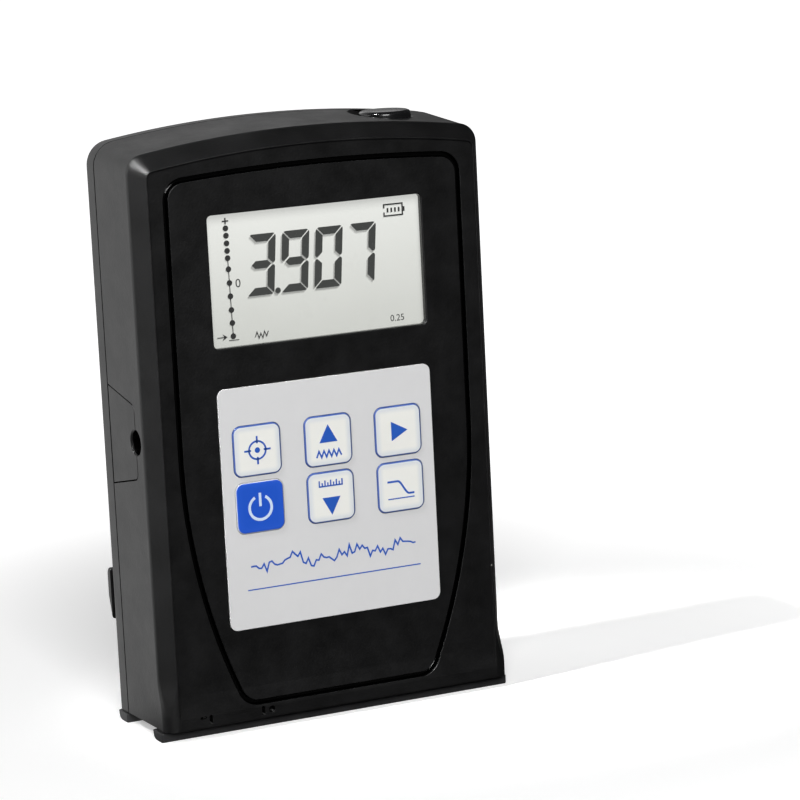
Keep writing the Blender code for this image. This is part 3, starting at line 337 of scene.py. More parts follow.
def rim_distance():
    """Distance in millimetres inside the edge of a rounded rectangle in the front view: with q the point's offset
    from the centre, folded into one quarter, less the half size and plus the radius, it is
    r - |max(q, 0)| - min(max(q), 0)."""
    tree, given, out = group("rim_distance", [("Middle", POINT, (0, 0, 0)), ("Half W", REAL, 4.0),
                                              ("Half H", REAL, 4.0), ("Radius", REAL, 1.0)], [("Inside", REAL)])
    shift = add(tree, "ShaderNodeVectorMath", {0: object_point(tree), 1: given["Middle"]}, operation="SUBTRACT")
    parts = add(tree, "ShaderNodeSeparateXYZ", {0: shift.outputs[0]}).outputs
    q = []
    for part, half in ((parts["X"], "Half W"), (parts["Z"], "Half H")):
        size = maths(tree, "MULTIPLY", maths(tree, "ABSOLUTE", part), 1000.0)
        q.append(maths(tree, "ADD", maths(tree, "SUBTRACT", size, given[half]), given["Radius"]))
    square = [maths(tree, "POWER", maths(tree, "MAXIMUM", v, 0.0), 2.0) for v in q]
    corner = maths(tree, "SQRT", maths(tree, "ADD", *square))
    inner = maths(tree, "MINIMUM", maths(tree, "MAXIMUM", *q), 0.0)
    tree.links.new(maths(tree, "SUBTRACT", maths(tree, "SUBTRACT", given["Radius"], corner), inner), out["Inside"])
    return tree


def shader_of(name):
    """Material with its node tree and its one Principled shader."""
    mat = bpy.data.materials.new(name)
    mat.use_nodes = True
    return mat, mat.node_tree, mat.node_tree.nodes["Principled BSDF"]


def use(tree, name, **values):
    """Place one of the shared groups, made the first time that it is asked for."""
    made = bpy.data.node_groups.get(name) or SHARED[name]()
    node = tree.nodes.new("ShaderNodeGroup")
    node.node_tree = made
    for key, value in values.items():
        node.inputs[key.replace("_", " ")].default_value = value
    return node.outputs


SHARED = {"moulded_grain": moulded_grain, "drawn_metal": drawn_metal, "rim_distance": rim_distance}


def plastic(name, rgb, roughness, grain=2500.0, depth=0.03, dust=0.0, specular=0.5, coat=0.0, sway=0.25):
    """Moulded plastic: grain as a bump, tone and gloss that sway slowly, and dust."""
    mat, tree, shader = shader_of(name)
    grained = use(tree, "moulded_grain", Grain=grain, Dust=dust)
    dark = [c * (1 - sway) for c in rgb]
    light = [c * (1 + sway) for c in rgb]
    tone = blend_colour(tree, grained["Tone"], dark, light)
    tree.links.new(blend_colour(tree, grained["Dust"], tone, (0.35, 0.34, 0.32)), shader.inputs["Base Color"])
    tree.links.new(spread(tree, grained["Tone"], 0.0, 1.0, roughness - 0.05, roughness + 0.05),
                   shader.inputs["Roughness"])
    bump = add(tree, "ShaderNodeBump", {"Strength": 0.6, "Distance": depth * MM, "Height": grained["Height"]})
    tree.links.new(bump.outputs[0], shader.inputs["Normal"])
    shader.inputs["Specular IOR Level"].default_value = specular
    shader.inputs["Coat Weight"].default_value = coat
    shader.inputs["Coat Roughness"].default_value = 0.08
    return mat


def metal(name, rgb, roughness, stretch=(60.0, 4000.0, 4000.0), depth=0.01):
    """Bare metal with drawn lines in its gloss, tone and surface."""
    mat, tree, shader = shader_of(name)
    drawn = use(tree, "drawn_metal", Stretch=stretch)
    tree.links.new(blend_colour(tree, drawn["Tone"], [c * 0.8 for c in rgb], [min(c * 1.15, 1) for c in rgb]),
                   shader.inputs["Base Color"])
    tree.links.new(spread(tree, drawn["Tone"], 0.3, 0.7, roughness - 0.07, roughness + 0.07),
                   shader.inputs["Roughness"])
    bump = add(tree, "ShaderNodeBump", {"Strength": 0.5, "Distance": depth * MM, "Height": drawn["Height"]})
    tree.links.new(bump.outputs[0], shader.inputs["Normal"])
    shader.inputs["Metallic"].default_value = 1.0
    return mat


def film(name, rgb, roughness=0.35, dust=0.4):
    """Printed plastic film: very fine satin grain and a faint cloud of tone."""
    return plastic(name, rgb, roughness, grain=5000.0, depth=0.006, dust=dust, specular=0.35, sway=0.015)


def key_face(name, centre, face, line, halo, width):
    """Key cap with a line along its edge, width millimetres wide, and a halo that fades inwards from the line."""
    mat = film(name, face, 0.38)
    tree, shader = mat.node_tree, mat.node_tree.nodes["Principled BSDF"]
    inside = use(tree, "rim_distance", Middle=(centre[0] * MM, 0, centre[1] * MM), Half_W=KEY_W / 2,
                 Half_H=KEY_H / 2, Radius=KEY_R)["Inside"]
    plain = shader.inputs["Base Color"].links[0].from_socket
    glow = blend_colour(tree, spread(tree, inside, 1.5, 0.45, smooth=True), plain, halo)
    band = spread(tree, inside, 0.04 + width, width - 0.04)
    tree.links.new(blend_colour(tree, band, glow, line), shader.inputs["Base Color"])
    return mat


def floor_finish():
    """Pale matt floor. To the camera it is evenly bright, more so far away. As a light for the object it glows at
    the back and the left, and stays dim at the front right, where a dark card would lie."""
    mat, tree, shader = shader_of("studio_floor")
    point = object_point(tree)
    reach = add(tree, "ShaderNodeVectorMath", {0: point}, operation="LENGTH").outputs["Value"]
    cloud = add(tree, "ShaderNodeTexNoise", {"Vector": point, "Scale": 9.0, "Detail": 3.0}).outputs["Fac"]
    tree.links.new(blend_colour(tree, cloud, (0.82, 0.82, 0.82), (0.86, 0.86, 0.86)), shader.inputs["Base Color"])
    far = spread(tree, reach, 0.07, 0.25, 0.42, 1.0, smooth=True)
    tree.links.new(blend_colour(tree, far, (0, 0, 0), (1, 1, 1)), shader.inputs["Emission Color"])
    shader.inputs["Emission Strength"].default_value = 0.95
    shader.inputs["Roughness"].default_value = 0.8
    shader.inputs["Specular IOR Level"].default_value = 0.2
    ahead = add(tree, "ShaderNodeVectorMath", {0: point}, operation="NORMALIZE").outputs[0]
    front = add(tree, "ShaderNodeVectorMath", {0: ahead, 1: (0.43, -0.90, 0.0)}, operation="DOT_PRODUCT")
    dim = spread(tree, front.outputs["Value"], -0.1, 0.7, smooth=True)
    lit = spread(tree, front.outputs["Value"], -0.25, -0.9, smooth=True)
    matt = add(tree, "ShaderNodeBsdfDiffuse", {0: blend_colour(tree, dim, (0.12, 0.12, 0.12), (0.03, 0.03, 0.03))})
    glow = add(tree, "ShaderNodeEmission", {0: blend_colour(tree, lit, (0.0, 0.0, 0.0), (0.78, 0.78, 0.78))})
    other = add(tree, "ShaderNodeAddShader", {0: matt.outputs[0], 1: glow.outputs[0]}).outputs[0]
    path = add(tree, "ShaderNodeLightPath").outputs
    both = add(tree, "ShaderNodeMixShader", {0: path["Is Camera Ray"], 1: other, 2: shader.outputs[0]}).outputs[0]
    tree.links.new(both, tree.nodes["Material Output"].inputs["Surface"])
    return mat


def panel_face(rgb, glow):
    """Liquid crystal panel: satin face with a backlight glow, set strong enough to stand in for the light that the
    window's recess keeps off, painted light a little brighter towards its top, and a faint cloud in the diffuser's
    light."""
    mat = film("panel_face", rgb, 0.3, dust=0.0)
    tree, shader = mat.node_tree, mat.node_tree.nodes["Principled BSDF"]
    point = object_point(tree)
    height = add(tree, "ShaderNodeSeparateXYZ", {0: point}).outputs["Z"]
    # Painted light: the glow rises towards the top of the window.
    painted_top_light = spread(tree, height, (WINDOW_Z - WINDOW_H / 2) * MM, (WINDOW_Z + WINDOW_H / 2) * MM, 0.0, 0.9)
    cloud = add(tree, "ShaderNodeTexNoise", {"Vector": point, "Scale": 90.0, "Detail": 3.0}).outputs["Fac"]
    share = maths(tree, "ADD", painted_top_light, maths(tree, "MULTIPLY", cloud, 0.15))
    tree.links.new(blend_colour(tree, share, (0.60, 0.61, 0.57), (1.0, 1.01, 0.97)), shader.inputs["Emission Color"])
    shader.inputs["Emission Strength"].default_value = glow
    return mat


def settings():
    return bpy.context.scene.tester


# ---------------------------------------------------------------- case

def arch_top(x, y):
    """Height of the case's top at x and y, behind the bevel."""
    draft = TOP_DRAFT * (SEAM_Y - y) / (SEAM_Y - BEVEL_BACK_Y)
    return BODY_TOP - draft - x * x / (2 * ARCH_R)


def side_at(y):
    """Half width of the case at depth y, behind the bevel."""
    return HALF_W - SIDE_DRAFT * (SEAM_Y - y) / (SEAM_Y - BEVEL_BACK_Y)


def arched(half, radius, arch_z, corner_r, right, steps=(14, 56)):
    """Outline symmetric about X = 0: a right side, a corner arc tangent to the side at x = half and to an arch of
    the given radius about (0, arch_z), the arch, and the mirrored left side."""
    x = half - corner_r
    z = arch_z + math.sqrt((radius - corner_r) ** 2 - x * x)
    turn = math.degrees(math.atan2(z - arch_z, x))
    right = np.concatenate([right, arc(x, z, corner_r, 0, turn, steps[0])])
    crown = arc(0, arch_z, radius, turn, 180 - turn, steps[1])[1:-1]
    return np.concatenate([right, crown, right[::-1] * [-1, 1]])


def case_outline(side, top, lift, r):
    """Front view of the case, drawn in by side and top, with its bottom lifted and corners of radius r."""
    z = np.linspace(FOOT_H + lift, RUNOUT_HIGH, 22)
    right = np.stack([np.full_like(z, HALF_W - side), z], 1)
    return arched(HALF_W - side, ARCH_R - top, BODY_TOP - ARCH_R, r, right)


def case_ring(side, top, lift, r, y):
    return at_depth(case_outline(side, top, lift, r), y)


def front_edge_ring(share_in, share_back, turn, lift=0.0):
    """Ring of the front edge. Above, it lies on the flat bevel at the given shares of its width and depth; towards
    the base x and y change smoothly to a quarter round, EDGE_R (1 - sin a) in and EDGE_R (1 - cos a) back."""
    side, depth, a = SIDE_DRAFT + BEVEL_W * share_in, BEVEL_D * share_back, math.radians(turn)
    r = FACE_CORNER_R + (CORNER_R - 1.0 - FACE_CORNER_R) * (1 - share_in)
    outline = case_outline(side, TOP_DRAFT + BEVEL_TOP_W * share_in, lift, r)
    t = np.clip((RUNOUT_HIGH - outline[:, 1]) / (RUNOUT_HIGH - RUNOUT_LOW), 0, 1)
    t = t * t * (3 - 2 * t)
    round_side = EDGE_R * (1 - math.sin(a)) + BEVEL_W * max(share_in - 1, 0)
    outline[:, 0] += np.sign(outline[:, 0]) * (side - round_side) * t
    return at_depth(outline, FRONT_Y + depth + (EDGE_R * (1 - math.cos(a)) - depth) * t)


def panel_outline(draw):
    """Outline of the face panel: arched top, straight sides that curve inwards below the bend, rounded feet."""
    side_x, foot_z = GROOVE_HALF - GROOVE_SIDE_R, GROOVE_LOW + GROOVE_FOOT_R
    foot_x = side_x + math.sqrt((GROOVE_SIDE_R - GROOVE_FOOT_R) ** 2 - (foot_z - GROOVE_BEND_Z) ** 2)
    bend = math.degrees(math.atan2(foot_z - GROOVE_BEND_Z, foot_x - side_x))
    right = np.concatenate([arc(foot_x, foot_z, GROOVE_FOOT_R - draw, -90, bend, 12),
                            arc(side_x, GROOVE_BEND_Z, GROOVE_SIDE_R - draw, bend, 0, 30)[1:]])
    return arched(GROOVE_HALF - draw, GROOVE_ARCH_R - draw, GROOVE_TOP - GROOVE_ARCH_R, GROOVE_CORNER_R - draw,
                  right, (12, 48))


def insert_ring(gap, depth, back):
    """Outline of the jack cover on the left side, grown by gap and sunk by depth, up to the depth plane back."""
    slope = INSERT_TAPER / (SEAM_Y - JACK_Y)
    front, high = JACK_Y - gap, JACK_Z + INSERT_H / 2 + gap * math.hypot(1.0, slope)
    r, tilt = INSERT_CORNER_R + gap, math.degrees(math.atan(slope))
    corner_y = front + r
    corner_z = high - slope * (SEAM_Y - corner_y) - r / math.cos(math.radians(tilt))
    upper = np.concatenate([[[back, high + slope * (back - SEAM_Y)]], arc(corner_y, corner_z, r, 90 + tilt, 180, 10)])
    outline = np.concatenate([upper, upper[::-1] * [1, -1] + [0, 2 * JACK_Z]])
    return np.insert(outline, 0, depth - side_at(outline[:, 0]), axis=1)


def opening(name, outline, rim, y0, y1):
    """Cutter for an opening from the front: an outline function of its growth, a rounded rim, a straight wall."""
    rows = np.concatenate([mouth(rim, y0), [[0.0, y1]]])
    return skin(name, np.stack([at_depth(outline(grow), y) for grow, y in rows]))


def make_front_shell(rim, edge):
    path = filleted([(BEVEL_W + 0.3, 0), (BEVEL_W, 0), (0, BEVEL_D), (0, BEVEL_D + BEVEL_RUN)], (rim, edge), 7)
    along = np.concatenate([[0], np.cumsum(np.linalg.norm(np.diff(path), axis=1))])
    turn = 90 * np.clip((along - along[1]) / (along[-2] - along[1]), 0, 1)
    rings = [front_edge_ring(p[0] / BEVEL_W, p[1] / BEVEL_D, t, 0.4 if k == 0 else 0.4 * max(0, 1 - k / 3))
             for k, (p, t) in enumerate(zip(path[:-1], turn))]
    rings += [
        case_ring(SIDE_DRAFT, TOP_DRAFT, 0.0, CORNER_R - 1.0, BEVEL_BACK_Y),
        case_ring(0.0, 0.0, 0.0, CORNER_R, SEAM_Y - 0.06),
        case_ring(0.02, 0.02, 0.02, CORNER_R - 0.02, SEAM_Y - 0.02),
        case_ring(0.06, 0.06, 0.06, CORNER_R - 0.06, SEAM_Y),
        case_ring(WALL, WALL, BASE_WALL, CORNER_R - 1.4, SEAM_Y),
        case_ring(WALL + SIDE_DRAFT, WALL + TOP_DRAFT, BASE_WALL, CORNER_R - 1.8, INNER_FRONT_Y + 0.8),
        case_ring(WALL + BEVEL_W * 0.7, WALL + TOP_DRAFT + BEVEL_TOP_W * 0.6, BASE_WALL, FACE_CORNER_R,
                  INNER_FRONT_Y),
    ]
    shell = skin("front_shell", np.stack(rings))

    # The face lies behind the rim and ramps out near the base
    steep = (RAMP_HIGH - RAMP_LOW) / FACE_STEP
    side, top = SIDE_DRAFT + BEVEL_W + FACE_MARGIN, TOP_DRAFT + BEVEL_TOP_W + FACE_MARGIN
    rows = np.concatenate([mouth(0.12, FRONT_Y), [[0.0, FACE_Y]]])
    carve(shell, skin("step", np.stack([
        case_ring(side - grow, top - grow, RAMP_LOW + (y - FRONT_Y) * steep - FOOT_H, FACE_CORNER_R + grow, y)
        for grow, y in rows])))

    # Groove: a closed section of two rounded rims and a flat floor, carried round the panel outline
    half = GROOVE_W / 2
    rows = mouth(0.09, FACE_Y)
    floor = filleted([(-half, FACE_Y + 0.2), (-half, FACE_Y + GROOVE_D), (half, FACE_Y + GROOVE_D),
                      (half, FACE_Y + 0.2)], (0.3, 0.3), 5)
    section = np.concatenate([np.stack([-half - rows[:, 0], rows[:, 1]], 1), floor,
                              np.stack([half + rows[:, 0], rows[:, 1]], 1)[::-1]])
    rings = np.stack([at_depth(panel_outline(draw), y) for draw, y in section])
    rings[..., 1] -= FACE_STEP * np.clip((RAMP_HIGH - rings[..., 2]) / (RAMP_HIGH - RAMP_LOW), 0, 1)
    groove = skin("groove", rings, loop=True)
    window = opening("window", lambda g: rounded_rect(0, WINDOW_Z, WINDOW_W + 2 * g, WINDOW_H + 2 * g, WINDOW_R + g),
                     0.28, FACE_Y, INNER_FRONT_Y + 1.0)
    label = opening("label", lambda g: rounded_rect(0, LABEL_Z, LABEL_W + 0.16 + 2 * g, LABEL_H + 0.16 + 2 * g,
                                                    LABEL_R + 0.08 + g), 0.06, FACE_Y, LABEL_Y + 0.8)
    marks = []
    for k, x in enumerate((STYLUS_X, STYLUS_X + STROKE)):
        marks.append(opening(f"mark_{k}", lambda g: rounded_rect(x, 3.4, 0.6 + 2 * g, 1.6 + 2 * g, 0.25 + g, 5),
                             0.05, FRONT_Y, FRONT_Y + 0.8))
    marks.append(opening("dash", lambda g: rounded_rect(STYLUS_X - 1.4, 3.85, 1.2 + 2 * g, 0.5 + 2 * g, 0.24 + g, 5),
                         0.05, FRONT_Y, FRONT_Y + 0.8))
    marks.append(opening("dot", lambda g: arc(STYLUS_X + STROKE + 1.6, 3.4, 0.6 + g, 0, 360, 32)[:-1], 0.05,
                         FRONT_Y, FRONT_Y + 0.8))
    slot = prism("slot", rounded_rect(-19.6, -0.45, 18.4, 5.0, 1.2), 2, 0.0, FOOT_H + BASE_WALL + 1.0)
    front_rail = node_box("front_rail")
    mid = (front_rail[0][1] + front_rail[1][1]) / 2
    spine = block("spine", -25.3, 25.3, mid - 1.1, mid + 1.1, 1.0, FOOT_H + 0.9)
    carve(shell, groove, window, label, *marks, slot, spine, button_bowl())

    grow = 2 * (1.1 + FIT)
    rebate = prism("rebate", rounded_rect(0, WINDOW_Z, WINDOW_W + grow, WINDOW_H + grow, WINDOW_R + 0.6), 1,
                   FACE_Y + WINDOW_LIP, INNER_FRONT_Y + 1.0)
    pockets = [prism(f"pocket_{k}", rounded_rect(x, z, KEY_W + 0.3, KEY_H + 0.3, KEY_R + 0.15), 1,
                     FRONT_Y - 0.5, KEY_Y + 0.7 + 0.4 + FIT) for k, (x, z) in enumerate(KEYS.values())]
    cover = skin("cover", np.stack([insert_ring(0.22, -2.0, SEAM_Y + 3.0), insert_ring(0.22, WALL + 1.0,
                                                                                     SEAM_Y + 3.0)]))
    bore = prism("bore", arc(BUTTON_X, BUTTON_Y, BUTTON_R + 0.2, 0, 360, 96)[:-1], 2, BODY_TOP - 8, BODY_TOP + 3)
    carve(shell, rebate, *pockets, cover, bore)
    stems = [prism(f"stem_{k}", arc(x, z, 1.8, 0, 360, 24)[:-1], 1, FRONT_Y - 0.5, INNER_FRONT_Y + 1.0)
             for k, (x, z) in enumerate(KEYS.values())]
    carve(shell, jack_drill(), *stems)
    return shell


def button_bowl():
    """Cutter of the dish round the button, a cone that ends in a rounded lip, turned about the button's axis."""
    surface_z = arch_top(BUTTON_X, BUTTON_Y)
    wall = BUTTON_R + 0.2
    lean = (DISH_R - wall) / DISH_D
    profile = filleted([(DISH_R + lean * 1.6 + 0.6, surface_z + 1.6), (DISH_R, surface_z), (wall, surface_z - DISH_D),
                        (wall * 0.6, surface_z - DISH_D - 0.2)], (0.5, 0.3), 5)
    return turned("bowl", np.concatenate([profile, [[0.5, surface_z - DISH_D - 0.2]]]), 2, (BUTTON_X, BUTTON_Y))


def jack_drill():
    """Cutter of the jack's hole along X, with a small chamfer at the outer wall."""
    outer = -side_at(JACK_Y)
    return turned("drill", [(JACK_HOLE_R + 0.9, outer - 0.7), (JACK_HOLE_R, outer + 0.2),
                            (JACK_HOLE_R, outer + WALL + 1.5)], 0, (JACK_Y, JACK_Z), 64)


def make_rear_shell():
    inner = 3.7
    rings = [
        case_ring(WALL, WALL, BASE_WALL, CORNER_R - 1.7, REAR_FLOOR_Y),
        case_ring(WALL, WALL, BASE_WALL, CORNER_R - 1.7, REAR_JOINT_Y + 1.2),
        case_ring(inner, inner, inner, 1.2, REAR_JOINT_Y + 0.4),
        case_ring(inner, inner, inner, 1.2, REAR_JOINT_Y - 2.0),
        case_ring(2.5, 2.5, BASE_WALL + FIT, CORNER_R - 1.7, REAR_JOINT_Y - 2.0),
        case_ring(2.5, 2.5, BASE_WALL + FIT, CORNER_R - 1.7, REAR_JOINT_Y),
        case_ring(0.06, 0.06, 0.06, CORNER_R - 0.06, REAR_JOINT_Y),
        case_ring(0.02, 0.02, 0.02, CORNER_R - 0.02, REAR_JOINT_Y + 0.02),
        case_ring(0.0, 0.0, 0.0, CORNER_R, REAR_JOINT_Y + 0.06),
    ]
    for a in np.radians(np.linspace(0, 90, 13)):
        draw = BACK_R * (1 - math.cos(a))
        rings.append(case_ring(draw, draw, draw * 0.4, CORNER_R - draw * 0.4, REAR_Y - BACK_R * (1 - math.sin(a))))
    shell = skin("rear_shell", np.stack(rings))
    recesses = [turned(f"recess_{k}", np.concatenate([
        mouth(0.15, 0.0) * [1, -1] + [2.5, REAR_Y], [[2.5, REAR_Y - 1.9]]]), 1, site, 48) for k, site in enumerate(SCREWS)]
    thumb = prism("thumb", rounded_rect(-28.9, 23.65, 4.0, 5.5, 0.6), 1, REAR_FLOOR_Y - 1.0, REAR_Y + 1.0)
    rear_rail = node_box("rear_rail")
    mid = (rear_rail[0][1] + rear_rail[1][1]) / 2
    spine = block("spine", -25.3, 25.3, mid - 1.1, mid + 1.1, 1.0, FOOT_H + 0.9)
    step = node_box("top_button")
    flange = arch_top(BUTTON_X + 5.6, BUTTON_Y - 5.6) - WALL - FIT + 2 * FIT
    notch = turned("notch", [(5.9, flange - 8.0), (5.9, flange), (5.0, flange), (5.0, step[1][2] + 1.5)], 2,
                   (BUTTON_X, BUTTON_Y), 72)
    carve(shell, *recesses, thumb, spine, notch)
    carve(shell, *[prism(f"hole_{k}", arc(*site, 1.3, 0, 360, 24)[:-1], 1, REAR_FLOOR_Y - 1, REAR_Y + 1)
                   for k, site in enumerate(SCREWS)])
    return shell


def make_jack_cover():
    rows = ((-0.14, 0.0), (-0.04, 0.04), (0.0, 0.14), (0.0, INSERT_T))
    cover = skin("jack_cover_insert", np.stack([insert_ring(gap, depth, SEAM_Y + gap) for gap, depth in rows]))
    carve(cover, jack_drill())
    return cover


def make_top_button():
    """Domed cap: the crown falls as the square of the radius, then a rounded shoulder, a skirt and the flange."""
    surface_z = arch_top(BUTTON_X, BUTTON_Y)
    high = node_box("top_button")[1][2]
    low = node_box("top_button")[0][2]
    flange = arch_top(BUTTON_X + 5.6, BUTTON_Y - 5.6) - WALL - FIT
    r = np.linspace(0.02, 0.86, 16) * BUTTON_R
    dome = np.stack([r, high - 0.35 * BUTTON_DOME * (r / BUTTON_R) ** 2], 1)
    shoulder = filleted([dome[-1], (BUTTON_R * 0.985, dome[-1, 1] - 0.25), (BUTTON_R, surface_z - 0.6),
                         (BUTTON_R, flange)], (0.55, 0.3), 8)[1:]
    profile = np.concatenate([dome, shoulder, [(5.6, flange), (5.6, flange - 0.8), (1.8, flange - 0.8), (1.8, low)]])
    return turned("push_button", profile, 2, (BUTTON_X, BUTTON_Y), 128)


# ---------------------------------------------------------------- display and keypad

def decal(name, outlines, y, thick=0.02):
    """Printed or liquid crystal shapes: each outline becomes a thin plate from y to y + thick."""
    points, faces, start = [], [], 0
    for outline in outlines:
        outline = np.asarray(outline, float)
        n = len(outline)
        points += [at_depth(outline, y), at_depth(outline, y + thick)]
        j = np.arange(n)
        k = (j + 1) % n
        faces += (np.stack([j, k, k + n, j + n], 1) + start).tolist()
        faces += [(j + start).tolist(), (j[::-1] + n + start).tolist()]
        start += 2 * n
    return surface(name, np.concatenate(points), faces)


def stroke(points, width):
    """Outline of a line of the given width along a polyline, its two sides offset along the mitred normals."""
    points = np.asarray(points, float)
    d = np.diff(points, axis=0)
    d /= np.linalg.norm(d, axis=1)[:, None]
    before, after = np.concatenate([d[:1], d]), np.concatenate([d, d[-1:]])
    mean = before + after
    mean /= np.linalg.norm(mean, axis=1)[:, None]
    side = np.stack([-mean[:, 1], mean[:, 0]], 1) * (width / 2 / np.sum(mean * before, axis=1))[:, None]
    return np.concatenate([points + side, (points - side)[::-1]])


def disc(x, z, r):
    return arc(x, z, r, 0, 360, 32)[:-1]


def sector(x, z, r_out, r_in, start, end, steps=40):
    return np.concatenate([arc(x, z, r_out, start, end, steps), arc(x, z, r_in, end, start, steps)])


SEGMENTS = {"0": "abcdef", "1": "bc", "2": "abged", "3": "abgcd", "4": "fgbc", "5": "afgcd", "6": "afgedc",
            "7": "abc", "8": "abcdefg", "9": "abcdfg"}


def numeral(figure, x, z, w=5.2, h=10.7, t=1.36, lean=0.083):
    """Seven-segment figure in a cell w by h with strokes t wide: the top bar, upper bar and middle bar are drawn at
    the upper left, the others are their mirror images, and all is sheared by lean times the height."""
    m, s, e = h / 2, t / 2, 0.15
    top = np.array([(e + 0.42, h), (w - e - 0.42, h), (w - e - 0.12, h - 0.12), (w - t - e, h - t), (t + e, h - t),
                    (e + 0.12, h - e)])
    upper = np.array([(0.12, h - e - 0.12), (t, h - t - e), (t, m + s + 0.28), (0.34 * t, m + 0.17),
                      (0.14, m + 0.24), (0, m + 0.55), (0, h - e - 0.42)])
    middle = np.array([(s + 0.08, m), (t + e, m + s), (w - t - e, m + s), (w - s - 0.08, m), (w - t - e, m - s),
                       (t + e, m - s)])
    across, down = np.array([-1, 1]), np.array([1, -1])
    bars = {"a": top, "d": top * down + [0, h], "g": middle, "f": upper, "b": upper * across + [w, 0],
            "e": upper * down + [0, h], "c": upper * -1 + [w, h]}
    return [bars[k] @ [[1, 0], [lean, 1]] + [x, z] for k in SEGMENTS[figure]]


def display_shapes(reading):
    """Everything that the display shows: the reading, and apart from it the level scale with its pointer, the
    battery and a profile sign."""
    value = [disc(-6.72, 76.75, 0.52)]
    for k, figure in enumerate([c for c in reading if c.isdigit()][:4]):
        value += numeral(figure, -12.63 + 6.42 * k, 76.25)
    shapes = []
    scale_x = lambda z: -15.62 - 0.0165 * (z - 69.7)
    levels = (88.53, 87.26, 85.93, 84.62, 83.35, 81.41, 79.02, 76.69, 74.3, 72.02, 69.7)
    shapes += [disc(scale_x(z), z, 0.52) for z in levels]
    shapes.append(stroke([(scale_x(z), z) for z in (83.2, 69.8)], 0.16))
    x, z = -15.94, 89.78
    shapes += [stroke([(x - 0.6, z), (x + 0.6, z)], 0.25), stroke([(x, z + 0.58), (x, z - 0.58)], 0.25)]
    shapes += [stroke([(-18.65, 69.66), (-17.4, 69.66)], 0.17),
               [(-17.65, 70.25), (-16.7, 69.66), (-17.65, 69.07), (-17.35, 69.66)],
               stroke([(-16.45, 69.03), (-14.55, 68.98)], 0.15)]
    x0, x1, z0, z1 = 14.38, 17.97, 87.63, 89.64
    shapes += [stroke([(x0, 89.0), (x0, z1), (x1, z1), (x1, z0), (x0, z0), (x0, 88.3)], 0.27),
               stroke([(x1 + 0.3, 88.2), (x1 + 0.3, 89.05)], 0.3)]
    shapes += [stroke([(x, 88.22), (x, 89.02)], 0.33) for x in (15.1, 15.83, 16.55, 17.28)]
    zigzag = [(-11.5 + 0.36 * k, 69.3 + (0.62 if k % 2 else -0.5) * (1.0 if k % 3 else 0.55)) for k in range(8)]
    shapes.append(stroke(zigzag, 0.17))
    return value, shapes


def figures(name, texts, y, thick=0.02):
    """Small plain figures: each text is scaled to its height and centred on its place, as thin raised plates."""
    points, faces = [], []
    for text, x, z, height in texts:
        curve = bpy.data.curves.new("figures", "FONT")
        curve.body, curve.extrude, curve.resolution_u = text, 0.01, 4
        obj = bpy.data.objects.new("figures", curve)
        bpy.context.scene.collection.objects.link(obj)
        mesh = bpy.data.meshes.new_from_object(obj.evaluated_get(bpy.context.evaluated_depsgraph_get()))
        co = np.empty(len(mesh.vertices) * 3)
        mesh.vertices.foreach_get("co", co)
        co = co.reshape(-1, 3)
        low, high = co.min(0), co.max(0)
        scale = height / (high[1] - low[1])
        flat = (co[:, :2] - (low[:2] + high[:2]) / 2) * scale + [x, z]
        level = y + thick * (co[:, 2] < 0)
        start = sum(len(p) for p in points)
        points.append(np.stack([flat[:, 0], level, flat[:, 1]], 1))
        faces += [[start + v for v in polygon.vertices] for polygon in mesh.polygons]
        bpy.data.objects.remove(obj)
    return surface(name, np.concatenate(points), faces)


def mould_edges(name, outline, levels):
    """Plate whose outline grows and sinks along (growth, depth) rows."""
    return skin(name, np.stack([at_depth(outline(grow), y) for grow, y in levels]))


def make_window():
    grow, y0, y1 = 1.1, FACE_Y + WINDOW_LIP + FIT, FACE_Y + WINDOW_LIP + FIT + 1.0
    return mould_edges("display_lens", lambda g: rounded_rect(0, WINDOW_Z, WINDOW_W + 2 * (grow + g),
                                                             WINDOW_H + 2 * (grow + g), 1.2 + g),
                       [(-0.12, y0), (-0.03, y0 + 0.03), (0, y0 + 0.12), (0, y1 - 0.1), (-0.1, y1)])


def make_panel(name, node, edge):
    low, high = node_box(node)
    w, h, z = high[0] - low[0], high[2] - low[2], (low[2] + high[2]) / 2
    return mould_edges(name, lambda g: rounded_rect(0, z, w + 2 * g, h + 2 * g, 0.5 + g),
                       [(-edge, low[1]), (0, low[1] + edge), (0, high[1] - edge), (-edge, high[1])])


def make_overlay():
    outline = lambda g: rounded_rect(0, LABEL_Z, LABEL_W + 2 * g, LABEL_H + 2 * g, LABEL_R + g)
    sheet = mould_edges("keypad_film", outline, [(-0.08, LABEL_Y), (-0.02, LABEL_Y + 0.03), (0, LABEL_Y + 0.1),
                                                 (0, LABEL_Y + 0.5)])
    holes = [opening(f"hole_{k}", lambda g: rounded_rect(x, z, KEY_W + 0.12 + 2 * g, KEY_H + 0.12 + 2 * g,
                                                         KEY_R + 0.06 + g), 0.05, LABEL_Y, LABEL_Y + 1.0)
             for k, (x, z) in enumerate(KEYS.values())]
    carve(sheet, *holes)
    return sheet


def make_key(name):
    """Cap with a flat printed middle and a rolled edge, carried down to a round stem."""
    x, z = KEYS[name]
    cap = mould_edges(f"cap_{name}", lambda g: rounded_rect(x, z, KEY_W + 2 * g, KEY_H + 2 * g, KEY_R + g, 12),
                      [(-0.45, KEY_Y + 0.02), (-0.25, KEY_Y + 0.035), (-0.11, KEY_Y + 0.08), (-0.03, KEY_Y + 0.16),
                       (0.0, KEY_Y + 0.26), (0.0, KEY_Y + 0.7)])
    stem = turned(f"stem_{name}", [(1.5, KEY_Y + 0.5), (1.5, -9.6), (1.4, -9.5)], 1, (x, z), 32)
    carve(cap, stem, operation="UNION")
    return cap


